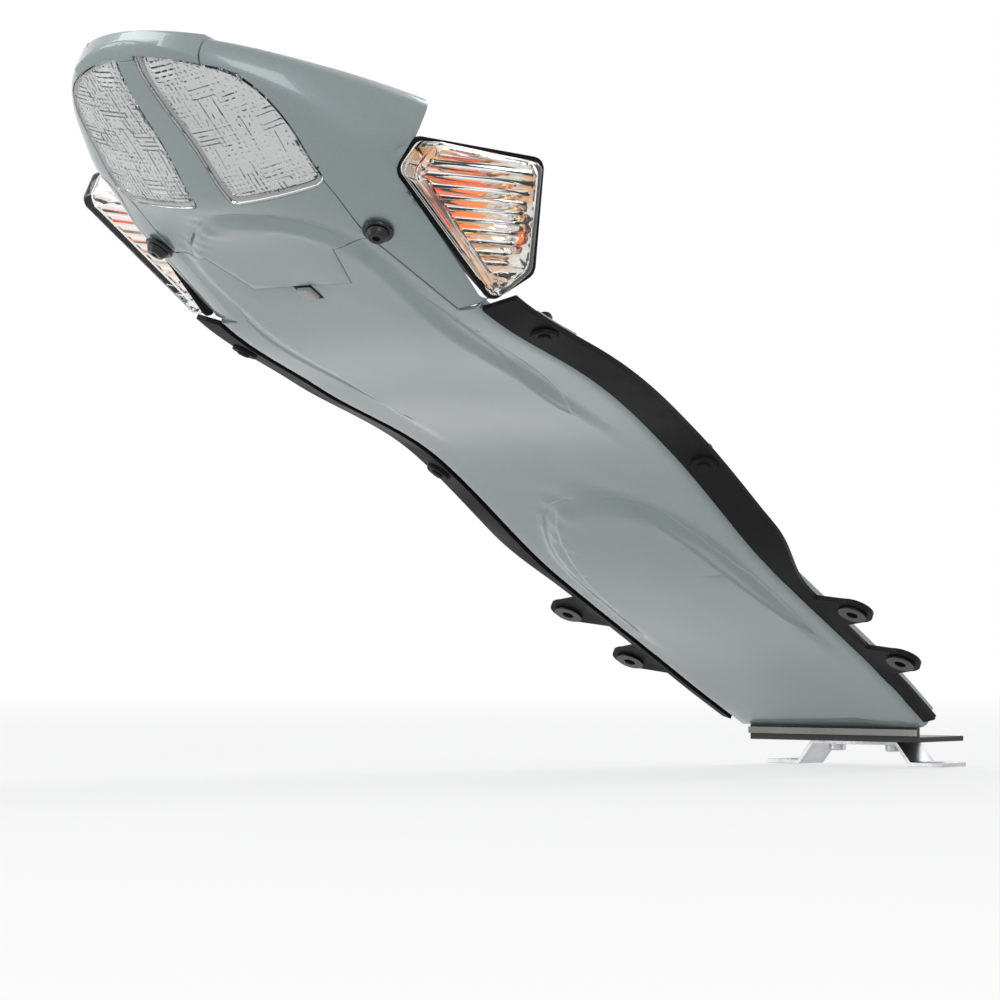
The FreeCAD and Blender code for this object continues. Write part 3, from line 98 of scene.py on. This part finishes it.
class Graph:
    """The node graph of one material, or of the world."""

    def __init__(self, tree: bpy.types.NodeTree) -> None:
        """Takes a node tree and empties it."""
        self.tree = tree
        self.tree.nodes.clear()

    def add(self, kind: str, settings: dict, inputs: dict, output: int | str = 0) -> Wire:
        """Adds any node.

        Args:
            kind: the node's type.
            settings: its properties, set first.
            inputs: values or wires for its sockets.
            output: which output to return.

        Returns:
            The chosen output.
        """
        node = self.tree.nodes.new(kind)
        for name, value in settings.items():
            setattr(node, name, value)
        for name, value in inputs.items():
            if isinstance(value, Wire):
                self.tree.links.new(value.socket, node.inputs[name])
            else:
                node.inputs[name].default_value = value
        return Wire(self, node.outputs[output]) if node.outputs else None

    def place(self) -> Wire:
        """Object coordinates."""
        return self.add("ShaderNodeTexCoord", {}, {}, "Object")

    def noise(self, scale: float, detail: float = 2.0) -> Wire:
        """Noise of a given fineness, per metre.

        Args:
            scale: repeats per metre.
            detail: levels of finer noise.

        Returns:
            The noise's value.
        """
        return self.add("ShaderNodeTexNoise", {}, {"Vector": self.place(), "Scale": scale, "Detail": detail})

    def ramp(self, value: Wire, low: float, high: float) -> Wire:
        """Maps 0..1 noise to a range, with a smooth middle.

        Args:
            value: the noise.
            low: result at its low end.
            high: result at its high end.

        Returns:
            The mapped value.
        """
        names = {"Value": value, "From Min": 0.3, "From Max": 0.7, "To Min": low, "To Max": high}
        return self.add("ShaderNodeMapRange", {"interpolation_type": "SMOOTHSTEP"}, names)

    def tint(self, share: Wire, first: tuple, second: tuple) -> Wire:
        """Mixes two colours.

        Args:
            share: 0 for the first, 1 for the second.
            first: a colour.
            second: a colour.

        Returns:
            The mixed colour.
        """
        settings = {"data_type": "RGBA"}
        return self.add("ShaderNodeMix", settings, {0: share, 6: (*first, 1), 7: (*second, 1)}, 2)

    def bump(self, height: Wire, strength: float, depth: float) -> Wire:
        """A bumped normal.

        Args:
            height: the surface's height, 0..1.
            strength: share of the effect.
            depth: height of the relief in metres.

        Returns:
            The normal.
        """
        names = {"Height": height, "Strength": strength, "Distance": depth}
        return self.add("ShaderNodeBump", {}, names, "Normal")

    def surface(self, inputs: dict) -> None:
        """Adds the surface shader and the material's output."""
        shader = self.add("ShaderNodeBsdfPrincipled", {}, inputs)
        self.add("ShaderNodeOutputMaterial", {}, {"Surface": shader})


def new_graph(name: str) -> tuple[bpy.types.Material, Graph]:
    """Makes an empty node material.

    Args:
        name: the material's name.

    Returns:
        The material and its graph.
    """
    material = bpy.data.materials.new(name)
    material.use_nodes = True
    return material, Graph(material.node_tree)


# Finishes

class Slot(Enum):
    """The record's material slots."""

    SILVER = "silver_paint"
    BLACK = "black_plastic"
    CLEAR = "clear_lens"
    WHITE = "white_lens"
    BRIGHT = "bright_reflector"
    AMBER = "amber_bulb"
    RUBBER = "seal_rubber"
    FOAM = "pale_foam"
    METAL = "black_metal"
    ZINC = "zinc_steel"


@dataclass(frozen=True)
class SilverPaint:
    """Silver metallic paint with fine flake under clear coat."""

    dark: tuple = (0.205, 0.25, 0.257)
    light: tuple = (0.265, 0.322, 0.33)
    flake: float = 2600.0
    haze: float = 14.0

    def build(self) -> bpy.types.Material:
        """Makes the material.

        Returns:
            The material.
        """
        material, graph = new_graph("silver_paint_finish")
        flake = graph.noise(self.flake, 1.0)
        haze = graph.noise(self.haze, 3.0)
        sparkle = graph.ramp(flake, 0.15, 0.85) * 0.75 + haze * 0.25
        graph.surface({
            "Base Color": graph.tint(sparkle, self.dark, self.light),
            "Metallic": 0.3,
            "Roughness": graph.ramp(haze, 0.34, 0.42),
            "Coat Weight": 1.0,
            "Coat Roughness": 0.03,
            "Normal": graph.bump(flake, 0.04, 0.0002),
        })
        return material


@dataclass(frozen=True)
class MouldedPlastic:
    """Moulded plastic or rubber with a fine grain."""

    name: str
    colour: tuple
    worn: tuple
    low: float = 0.42
    high: float = 0.62
    grain: float = 1400.0
    depth: float = 0.00025
    sheen: float = 0.12

    def build(self) -> bpy.types.Material:
        """Makes the material.

        Returns:
            The material.
        """
        material, graph = new_graph(self.name + "_finish")
        grain = graph.noise(self.grain, 2.0)
        dust = graph.noise(23.0, 4.0)
        graph.surface({
            "Base Color": graph.tint(graph.ramp(dust, 0.0, 1.0), self.colour, self.worn),
            "Roughness": graph.ramp(dust, self.low, self.high),
            "Specular IOR Level": self.sheen,
            "Normal": graph.bump(grain, 0.25, self.depth),
        })
        return material


@dataclass(frozen=True)
class ClearPlastic:
    """Clear or tinted plastic and glass; a painted glow can make an unlit part emit its own colour."""

    name: str
    colour: tuple
    low: float = 0.02
    high: float = 0.07
    see_through: float = 1.0
    index: float = 1.49
    painted_glow: float = 0.0

    def build(self) -> bpy.types.Material:
        """Makes the material.

        Returns:
            The material.
        """
        material, graph = new_graph(self.name + "_finish")
        haze = graph.noise(60.0, 3.0)
        graph.surface({
            "Base Color": (*self.colour, 1),
            "Roughness": graph.ramp(haze, self.low, self.high),
            "Transmission Weight": self.see_through,
            "IOR": self.index,
            "Emission Color": (*self.colour, 1),
            "Emission Strength": self.painted_glow,
        })
        return material


@dataclass(frozen=True)
class BareMetal:
    """Plated steel or bright metallised plastic."""

    name: str
    colour: tuple
    stain_and_painted_reflection: tuple
    low: float
    high: float
    scratch: float = 300.0
    metal: float = 1.0

    def build(self) -> bpy.types.Material:
        """Makes the material.

        Returns:
            The material.
        """
        material, graph = new_graph(self.name + "_finish")
        cloud = graph.noise(45.0, 4.0)
        fine = graph.noise(self.scratch, 2.0)
        graph.surface({
            # The second colour, in cloudy patches, is a stain on plated parts and a painted amber reflection
            # on the signal bowls.
            "Base Color": graph.tint(graph.ramp(cloud, 0.0, 1.0), self.colour, self.stain_and_painted_reflection),
            "Metallic": self.metal,
            "Roughness": graph.ramp(cloud * 0.6 + fine * 0.4, self.low, self.high),
            "Normal": graph.bump(fine, 0.06, 0.0001),
        })
        return material


FINISHES = {
    Slot.SILVER: SilverPaint(),
    Slot.BLACK: MouldedPlastic("black_plastic", (0.005, 0.005, 0.005), (0.009, 0.009, 0.009)),
    Slot.CLEAR: ClearPlastic("clear_lens", (0.97, 0.98, 0.98)),
    Slot.WHITE: ClearPlastic("white_lens", (0.9, 0.9, 0.86), 0.3, 0.4, 0.6),
    Slot.BRIGHT: BareMetal("bright_reflector", (0.86, 0.87, 0.88), (0.8, 0.81, 0.82), 0.08, 0.14),
    # The amber bulbs carry a painted glow: they emit amber light though they are not lit.
    Slot.AMBER: ClearPlastic("amber_bulb", (1.0, 0.27, 0.01), 0.1, 0.18, 0.3, painted_glow=0.35),
    Slot.RUBBER: MouldedPlastic("seal_rubber", (0.008, 0.008, 0.008), (0.014, 0.014, 0.014), 0.6, 0.8),
    Slot.FOAM: MouldedPlastic("pale_foam", (0.42, 0.41, 0.38), (0.5, 0.49, 0.46), 0.8, 0.9, 900.0, 0.0006),
    Slot.METAL: MouldedPlastic("black_metal", (0.006, 0.006, 0.006), (0.011, 0.011, 0.011), 0.2, 0.3, 500.0,
                               0.0001, 0.4),
    Slot.ZINC: BareMetal("zinc_steel", (0.62, 0.63, 0.65), (0.5, 0.51, 0.53), 0.24, 0.4),
}


Finish = SilverPaint | MouldedPlastic | ClearPlastic | BareMetal


class Palette:
    """Makes each finish once and paints pieces with it."""

    def __init__(self) -> None:
        """Starts with no finish made."""
        self.made = {}

    def paint(self, piece: bpy.types.Object, finish: Finish) -> None:
        """Gives a piece one finish.

        Args:
            piece: the piece.
            finish: its finish.
        """
        if finish not in self.made:
            self.made[finish] = finish.build()
        piece.data.materials.clear()
        piece.data.materials.append(self.made[finish])


PALETTE = Palette()
NODE_SLOTS = {entry["node"]: Slot(entry["material_slot"]) for entry in frame["record"]["subparts"]}


# Mesh helpers

def add_piece(name: str, mesh: bmesh.types.BMesh, slot: Slot, nodes: tuple = (), crease: float = 35.0,
              finish: Finish | None = None) -> bpy.types.Object:
    """Turns a bmesh into a finished piece.

    Args:
        name: the piece's name.
        mesh: its mesh in the part's frame, freed here.
        slot: its material slot.
        nodes: the CAD nodes it stands for.
        crease: edges sharper than this angle, in degrees, stay sharp.
        finish: its finish, where the slot's own one doesn't do.

    Returns:
        The new object.
    """
    data = bpy.data.meshes.new(name)
    mesh.to_mesh(data)
    mesh.free()
    data.shade_smooth()
    data.set_sharp_from_angle(angle=math.radians(crease))
    piece = bpy.data.objects.new(name, data)
    bpy.context.scene.collection.objects.link(piece)
    PALETTE.paint(piece, finish or FINISHES[slot])
    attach(piece, BODY)
    if nodes:
        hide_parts(*nodes)
    LOG.info("%s: %d faces", name, len(data.polygons))
    return piece


def node_mesh(node: str) -> bmesh.types.BMesh:
    """A merged copy of a CAD node's mesh.

    Args:
        node: the node's name.

    Returns:
        The copy.
    """
    mesh = bmesh.new()
    mesh.from_mesh(frame["nodes"][node].data)
    bmesh.ops.remove_doubles(mesh, verts=mesh.verts[:], dist=0.002 * MM)
    return mesh


def soften(piece: bpy.types.Object, width: float, sharper: float = 40.0) -> None:
    """Rounds a piece's sharp edges.

    Args:
        piece: the piece.
        width: width of the rounding, in metres.
        sharper: only edges sharper than this angle, in degrees, are rounded.
    """
    round_edges = piece.modifiers.new("round_edges", "BEVEL")
    round_edges.width = width
    round_edges.segments = 2
    round_edges.limit_method = "ANGLE"
    round_edges.angle_limit = math.radians(sharper)
    round_edges.use_clamp_overlap = False


def cut_rows(mesh: bmesh.types.BMesh, mark: bmesh.types.BMLayerItem, start: Vector, way: Vector,
             places: list[float], snap: float) -> None:
    """Cuts the marked faces along a row of parallel planes.

    Args:
        mesh: the mesh.
        mark: layer that marks the faces to cut.
        start: where the row is counted from.
        way: direction of the row.
        places: the planes' places along the row, in metres.
        snap: points nearer to a plane than this count as on it, in metres.
    """
    for place in places:
        faces = [face for face in mesh.faces if face[mark]]
        edges = dict.fromkeys(edge for face in faces for edge in face.edges)
        verts = dict.fromkeys(vert for face in faces for vert in face.verts)
        bmesh.ops.bisect_plane(mesh, geom=[*verts, *edges, *faces], dist=snap, plane_co=start + way * place,
                               plane_no=way)


# Sub-assemblies

@dataclass
class PressedLeaf:
    """A shallow leaf-shaped recess with crisp edges, pressed into the panel's outer face on both sides.

    Its spine gives places across and along the panel, each with half the leaf's width there, in millimetres.
    """

    spine: tuple
    depth: float
    slope: float = 2.2
    grid: float = 0.9
    margin: float = 3.0
    smoothing: int = 6
    facing: float = 0.25
    snap: float = 0.02 * MM

    def __post_init__(self) -> None:
        """Finds how far the leaf reaches."""
        room = max(half for _, _, half in self.spine) + self.margin
        self.low = Vector((min(p[0] for p in self.spine) - room, min(p[1] for p in self.spine) - room))
        self.high = Vector((max(p[0] for p in self.spine) + room, max(p[1] for p in self.spine) + room))

    def inside(self, point: Vector) -> float:
        """How far a point of the panel is inside the leaf's outline, in millimetres.

        Args:
            point: a place in the part's frame.

        Returns:
            The distance, below 0 outside the leaf.
        """
        local = TILT_BACK @ point / MM
        spot = Vector((abs(local.x), local.y))
        if not (self.low.x < spot.x < self.high.x and self.low.y < spot.y < self.high.y):
            return -math.inf
        best = (math.inf, 0.0)
        for first, second in zip(self.spine, self.spine[1:]):
            start, run = Vector(first[:2]), Vector(second[:2]) - Vector(first[:2])
            share = min(max((spot - start).dot(run) / run.length_squared, 0.0), 1.0)
            half = first[2] + (second[2] - first[2]) * share
            best = min(best, ((spot - start - run * share).length, half))
        return best[1] - best[0]

    def slice(self, mesh: bmesh.types.BMesh, near: bmesh.types.BMLayerItem) -> None:
        """Cuts the panel's face round the leaf into a fine grid.

        Args:
            mesh: the panel.
            near: layer that marks the faces to cut.
        """
        wide, long = (self.low.x, self.high.x), (self.low.y, self.high.y)
        for way, (low, high) in ((-ACROSS, wide), (ACROSS, wide), (ALONG, long)):
            counts = range(math.ceil(low / self.grid), math.floor(high / self.grid) + 1)
            places = [count * self.grid * MM for count in counts]
            cut_rows(mesh, near, TILT.translation, way, places, self.snap)

    def press(self, mesh: bmesh.types.BMesh) -> None:
        """Refines the panel's outer face round the leaf and presses the leaf in.

        Args:
            mesh: the panel.
        """
        near = mesh.faces.layers.int.new("near")
        for face in mesh.faces:
            outer = face.normal.dot(INWARD) < -self.facing
            face[near] = int(outer and self.inside(face.calc_center_median()) > -self.margin)
        self.slice(mesh, near)
        verts = dict.fromkeys(vert for face in mesh.faces if face[near] for vert in face.verts)
        middle = [vert for vert in verts if all(face[near] for face in vert.link_faces)]
        for _ in range(self.smoothing):
            bmesh.ops.smooth_vert(mesh, verts=middle, factor=0.5, use_axis_x=True, use_axis_y=True,
                                  use_axis_z=True)
        for vert in verts:
            share = min(max(self.inside(vert.co) / self.slope, 0.0), 1.0)
            vert.co += INWARD * (self.depth * share * share * (3 - 2 * share))
        mesh.faces.layers.int.remove(near)


FLANK_LEAF = PressedLeaf(
    ((57.5, -180, 0), (62, -168, 0.8), (66.3, -150, 1.4), (68, -130, 2.2), (67.3, -107, 3.6), (65, -88, 5.2),
     (61.5, -68, 6.0), (58, -48, 5.0), (55.5, -35, 3.4), (53.8, -24, 0)), 0.9 * MM)
FRONT_LEAF = PressedLeaf(
    ((6, 61.5, 0), (16, 64.5, 1.4), (29, 70.5, 3.4), (39, 82, 5.2), (47, 99, 6.2), (53, 118, 6.6),
     (56.6, 138, 6.6), (58, 160, 5.6), (58.6, 183, 4.0), (60.6, 200, 2.0), (62.3, 213, 0)), 1.1 * MM)
DOME_LINE = PressedLeaf(
    ((0, -247.2, 2.2), (11, -246.2, 2.2), (22, -242.4, 2.1), (35.8, -234.4, 1.9), (47.2, -224, 1.6),
     (53.5, -213, 1.0), (55.6, -206, 0)), 0.7 * MM, slope=1.6)


@dataclass
class PaintedShells:
    """The silver shells, with softened edges along their seams and leaf-shaped recesses in the panel."""

    nodes: tuple = ("undertail_panel", "lamp_lower_cover", "tail_top_cap", "side_cowl_left", "side_cowl_right")
    crease: float = 40.0
    edge: float = 0.35 * MM
    edge_angle: float = 55.0
    pressed: dict = field(default_factory=lambda: {
        "undertail_panel": (FLANK_LEAF, FRONT_LEAF),
        "lamp_lower_cover": (DOME_LINE,),
    })

    def build(self) -> None:
        """Makes every shell."""
        for node in self.nodes:
            mesh = node_mesh(node)
            for leaf in self.pressed.get(node, ()):
                leaf.press(mesh)
            shell = add_piece(node + "_shell", mesh, Slot.SILVER, (node,), self.crease)
            soften(shell, self.edge, self.edge_angle)


class RibForm(Enum):
    """Section of a lens's ribs, with the cuts that each rib needs."""

    RIDGE = 2
    ROUND = 6


@dataclass
class RibbedLens:
    """A lens whose inner face carries moulded ribs."""

    node: str
    inward: Vector
    pitch: float
    depth: float
    form: RibForm
    counted: tuple
    block: int = 0
    border: float = 3.0 * MM
    rim: float = 0.0
    rim_angle: float = 50.0
    least_height: float = -1.0
    rim_point: Vector = field(default_factory=Vector)
    snap: float = 0.001 * MM
    crease: float = 20.0

    def is_inner(self, face: bmesh.types.BMFace) -> bool:
        """Whether a face belongs to the inner face that carries the ribs.

        Args:
            face: a face of the lens.

        Returns:
            True for the ribbed face.
        """
        height = -(face.calc_center_median() - self.rim_point).dot(self.inward)
        return face.normal.dot(self.inward) > LENS_FACING and height > self.least_height

    def slice(self, mesh: bmesh.types.BMesh, mark: bmesh.types.BMLayerItem, across: Vector) -> None:
        """Cuts the inner face along the ribs.

        Args:
            mesh: the lens.
            mark: layer that marks the inner faces.
            across: direction in which the ribs are counted.
        """
        reach = [vert.co.dot(across) for face in mesh.faces if face[mark] for vert in face.verts]
        step = self.pitch / self.form.value
        counts = range(math.ceil(min(reach) / step), math.floor(max(reach) / step) + 1)
        cut_rows(mesh, mark, Vector(), across, [count * step for count in counts], self.snap)

    def rise(self, point: Vector, across: Vector) -> float:
        """Height of a row of ribs at a point, from 0 to 1.

        Args:
            point: place on the inner face.
            across: direction in which the ribs are counted.

        Returns:
            The height.
        """
        share = (point.dot(across) / self.pitch) % 1.0
        if self.form is RibForm.ROUND:
            return math.sin(math.pi * share)
        return 1.0 - abs(2.0 * share - 1.0)

    def pattern(self, point: Vector) -> float:
        """Height of the rib pattern at a point, whose blocks change direction.

        Args:
            point: place on the inner face.

        Returns:
            The height, from 0 to 1.
        """
        heights = [self.rise(point, across) for across in self.counted]
        if not self.block:
            return heights[0]
        cells = [math.floor(point.dot(across) / (self.pitch * self.block) + 0.01) for across in self.counted]
        kind = (cells[0] + 2 * cells[1]) % 3
        return min(heights) if kind == 2 else heights[kind]

    def emboss(self, mesh: bmesh.types.BMesh, mark: bmesh.types.BMLayerItem) -> None:
        """Raises the ribs, and leaves a plain border.

        Args:
            mesh: the lens.
            mark: layer that marks the inner faces.
        """
        inner = {vert for face in mesh.faces if face[mark] for vert in face.verts}
        edge = [vert for vert in inner if not all(face[mark] for face in vert.link_faces)]
        near = KDTree(len(edge))
        for index, vert in enumerate(edge):
            near.insert(vert.co, index)
        near.balance()
        for vert in inner:
            if near.find(vert.co)[2] > self.border:
                vert.co += self.inward * self.depth * self.pattern(vert.co)

    def round_rim(self, mesh: bmesh.types.BMesh) -> None:
        """Rounds the edge of the outer face.

        Args:
            mesh: the lens.
        """
        rim = []
        for edge in mesh.edges:
            outer = [face.normal.dot(self.inward) < -LENS_FACING for face in edge.link_faces]
            if any(outer) and not all(outer) and edge.calc_face_angle(0.0) > math.radians(self.rim_angle):
                rim.append(edge)
        bmesh.ops.bevel(mesh, geom=rim, offset=self.rim, offset_type="OFFSET", segments=3, profile=0.5,
                        affect="EDGES", material=-1, clamp_overlap=True)

    def build(self) -> None:
        """Makes the lens."""
        mesh = node_mesh(self.node)
        if self.rim:
            self.round_rim(mesh)
        mark = mesh.faces.layers.int.new("inner")
        for face in mesh.faces:
            face[mark] = int(self.is_inner(face))
        for across in self.counted:
            self.slice(mesh, mark, across)
        self.emboss(mesh, mark)
        mesh.faces.layers.int.remove(mark)
        add_piece(self.node + "_ribbed", mesh, NODE_SLOTS[self.node], (self.node,), self.crease)


@dataclass
class TailLamp:
    """Tail lenses with a grid of small prisms, and what shows behind them."""

    pitch: float = 2.6 * MM
    depth: float = 0.7 * MM
    block: int = 5
    rim: float = 0.9 * MM
    sheet_gap: float = 1.0 * MM
    sheet_thick: float = 0.6 * MM
    sheet_share: float = 0.93
    pale: MouldedPlastic = MouldedPlastic("diffuser_sheet", (0.92, 0.92, 0.92), (0.96, 0.96, 0.96), 0.4, 0.5,
                                          700.0, 0.0003, 0.5)
    seal: MouldedPlastic = MouldedPlastic("pale_seal", (0.5, 0.5, 0.5), (0.58, 0.58, 0.58), 0.5, 0.6,
                                          900.0, 0.0002, 0.4)

    def add_sheet(self, lens: str, name: str) -> None:
        """Adds the pale diffuser sheet behind a lens, with the lens's own curve.

        Args:
            lens: the lens's node.
            name: the sheet's name.
        """
        mesh = node_mesh(lens)
        other = [face for face in mesh.faces if face.normal.dot(INWARD) < LENS_FACING]
        bmesh.ops.delete(mesh, geom=other, context="FACES")
        middle = sum((vert.co for vert in mesh.verts), Vector()) / len(mesh.verts)
        bmesh.ops.scale(mesh, verts=mesh.verts[:], vec=(self.sheet_share,) * 3,
                        space=Matrix.Translation(-middle))
        bmesh.ops.translate(mesh, verts=mesh.verts[:], vec=INWARD * self.sheet_gap)
        bmesh.ops.reverse_faces(mesh, faces=mesh.faces[:])
        bmesh.ops.solidify(mesh, geom=mesh.faces[:], thickness=self.sheet_thick)
        bmesh.ops.recalc_face_normals(mesh, faces=mesh.faces[:])
        add_piece(name, mesh, Slot.WHITE, finish=self.pale)

    def build(self) -> tuple:
        """Makes the lamp.

        Returns:
            The nodes that it stands for.
        """
        nodes = ("tail_lens_left", "tail_lens_right")
        for node in nodes:
            RibbedLens(node, INWARD, self.pitch, self.depth, RibForm.RIDGE, (ACROSS, ALONG), self.block,
                       rim=self.rim).build()
            self.add_sheet(node, node.replace("lens", "diffuser"))
        seals = ("tail_gasket_left", "tail_gasket_right")
        for node in seals:
            add_piece(node + "_seal", node_mesh(node), NODE_SLOTS[node], (node,), finish=self.seal)
        return nodes + seals


@dataclass
class TurnSignals:
    """Signal lenses with level round ribs on their inner face."""

    rim_point: tuple = (97.5 * MM, -153 * MM, 24.5 * MM)
    yaw: float = 6.5
    roll: float = 19.7
    pitch: float = 4.9 * MM
    depth: float = 1.4 * MM
    lowest: float = 1.0 * MM
    border: float = 1.5 * MM
    # The bowls' amber patches are painted reflections of the amber bulbs, not a stain.
    bowl: BareMetal = BareMetal("painted_amber_reflection_bowl", (0.86, 0.84, 0.8), (0.8, 0.34, 0.05), 0.06, 0.12)

    def outward(self) -> Vector:
        """Direction out of the right lens."""
        roll, yaw = (math.radians(turn) for turn in (self.roll, -self.yaw))
        return TILT.to_3x3() @ Matrix.Rotation(roll, 3, "Y") @ Matrix.Rotation(yaw, 3, "Z") @ Vector((1, 0, 0))

    def build(self) -> tuple:
        """Makes both lenses.

        Returns:
            The nodes that they stand for.
        """
        nodes = {"signal_lens_right": 1, "signal_lens_left": -1}
        out, rim = self.outward(), TILT @ Vector(self.rim_point)
        for node, hand in nodes.items():
            inward = -Vector((out.x * hand, out.y, out.z))
            spot = Vector((rim.x * hand, rim.y, rim.z))
            RibbedLens(node, inward, self.pitch, self.depth, RibForm.ROUND, (Vector((0, 0, 1)),),
                       border=self.border, least_height=self.lowest, rim_point=spot).build()
        bowls = ("signal_reflector_left", "signal_reflector_right")
        for node in bowls:
            add_piece(node + "_bowl", node_mesh(node), NODE_SLOTS[node], (node,), finish=self.bowl)
        return tuple(nodes) + bowls


@dataclass
class HardPieces:
    """Rails, plates, bracket, lamps' insides and fasteners, with broken edges."""

    edge: float = 0.25 * MM
    flat: float = 0.6
    crease: float = 32.0

    def build(self, done: tuple) -> None:
        """Makes every piece that no other class has made.

        Args:
            done: nodes that other classes have made.
        """
        for node in sorted(frame["nodes"]):
            if node in done:
                continue
            mesh = node_mesh(node)
            bmesh.ops.dissolve_limit(mesh, angle_limit=math.radians(self.flat), verts=mesh.verts[:],
                                     edges=mesh.edges[:])
            piece = add_piece(node + "_piece", mesh, NODE_SLOTS[node], (node,), self.crease)
            if NODE_SLOTS[node] in (Slot.BLACK, Slot.METAL, Slot.ZINC):
                soften(piece, self.edge)


# Studio

@dataclass
class Studio:
    """Floor, lights and camera."""

    aim: tuple = (0.0, -0.3312, 0.1476)
    azimuth: float = 40.0
    elevation: float = -1.45
    distance: float = 2.348
    lens: float = 160.63
    floor: float = -0.0005
    floor_size: float = 60.0
    shadow_share: float = 0.7
    shadow_reach: float = 0.5
    fade: float = 2.5
    room_light: float = 0.42
    lamps: tuple = field(default_factory=lambda: (
        ("key_softbox", (-1.6, -2.2, 2.6), 2.2, 52.0),
        ("fill_softbox", (2.6, -2.4, 1.3), 1.8, 26.0),
        ("rim_softbox", (0.6, 2.4, 2.2), 1.6, 30.0),
        ("low_softbox", (-1.5, -2.0, 0.35), 0.9, 6.0),
    ))

    @staticmethod
    def backdrop_share(graph: Graph) -> Wire:
        """Is 1 for the rays that show the white background: seen, mirrored or seen through a lens.

        Args:
            graph: the graph that needs it.

        Returns:
            The share.
        """
        names = ("Is Camera Ray", "Is Glossy Ray", "Is Transmission Ray")
        seen, mirrored, through = (graph.add("ShaderNodeLightPath", {}, {}, name) for name in names)
        return seen.larger(mirrored).larger(through)

    def add_floor(self) -> None:
        """Makes the pale floor, which keeps the part's shadow."""
        mesh = bmesh.new()
        bmesh.ops.create_grid(mesh, x_segments=1, y_segments=1, size=self.floor_size / 2)
        bmesh.ops.translate(mesh, verts=mesh.verts[:], vec=(0, 0, self.floor))
        data = bpy.data.meshes.new("studio_floor")
        mesh.to_mesh(data)
        mesh.free()
        plane = bpy.data.objects.new("studio_floor", data)
        bpy.context.scene.collection.objects.link(plane)
        material, graph = new_graph("floor_finish")
        mottle = graph.noise(3.0, 3.0)
        colour = graph.tint(graph.ramp(mottle, 0.0, 1.0), (0.8, 0.8, 0.8), (0.83, 0.83, 0.83))
        matt = graph.add("ShaderNodeBsdfPrincipled", {}, {"Base Color": colour, "Roughness": 0.9})
        white = graph.add("ShaderNodeEmission", {}, {"Color": (1, 1, 1, 1), "Strength": 1.0})
        away = graph.add("ShaderNodeVectorMath", {"operation": "LENGTH"}, {0: graph.place()}, "Value")
        names = {"Value": away, "From Min": self.shadow_reach, "From Max": self.fade,
                 "To Min": self.shadow_share, "To Max": 1.0}
        share = graph.add("ShaderNodeMapRange", {"interpolation_type": "SMOOTHSTEP"}, names)
        shown = self.backdrop_share(graph) * share
        mixed = graph.add("ShaderNodeMixShader", {}, {0: shown, 1: matt, 2: white})
        graph.add("ShaderNodeOutputMaterial", {}, {"Surface": mixed})
        data.materials.append(material)

    def add_world(self) -> None:
        """Lights the room evenly and shows a white background."""
        world = bpy.data.worlds.new("studio_world")
        world.use_nodes = True
        graph = Graph(world.node_tree)
        names = {"Color": (0.86, 0.88, 0.9, 1), "Strength": self.room_light}
        light = graph.add("ShaderNodeBackground", {}, names)
        white = graph.add("ShaderNodeBackground", {}, {"Color": (1, 1, 1, 1), "Strength": 1.0})
        both = graph.add("ShaderNodeMixShader", {}, {0: self.backdrop_share(graph), 1: light, 2: white})
        graph.add("ShaderNodeOutputWorld", {}, {"Surface": both})
        bpy.context.scene.world = world

    def add_lamps(self) -> None:
        """Hangs the softboxes, each facing the part."""
        for name, place, size, power in self.lamps:
            light = bpy.data.lights.new(name, "AREA")
            light.energy = power
            light.size = size
            lamp = bpy.data.objects.new(name, light)
            lamp.location = place
            facing = Vector(self.aim) - Vector(place)
            lamp.rotation_euler = facing.to_track_quat("-Z", "Y").to_euler()
            bpy.context.scene.collection.objects.link(lamp)

    def add_camera(self) -> None:
        """Sets the camera at the photograph's angle."""
        turn, lift = math.radians(self.azimuth), math.radians(self.elevation)
        back = Vector((math.sin(turn) * math.cos(lift), -math.cos(turn) * math.cos(lift), math.sin(lift)))
        data = bpy.data.cameras.new("studio_camera")
        data.lens = self.lens
        data.sensor_width = 36.0
        camera = bpy.data.objects.new("studio_camera", data)
        camera.location = Vector(self.aim) + back * self.distance
        camera.rotation_euler = (-back).to_track_quat("-Z", "Y").to_euler()
        bpy.context.scene.collection.objects.link(camera)
        bpy.context.scene.camera = camera

    def build(self) -> None:
        """Makes the whole studio."""
        self.add_floor()
        self.add_world()
        self.add_lamps()
        self.add_camera()
        bpy.context.scene.view_settings.view_transform = "Standard"


def main() -> None:
    """Builds every sub-assembly and the studio."""
    logging.basicConfig(level=logging.INFO, format="%(message)s")
    shells = PaintedShells()
    shells.build()
    lenses = TailLamp().build() + TurnSignals().build()
    HardPieces().build(shells.nodes + lenses)
    Studio().build()


if __name__ == "__main__":
    main()
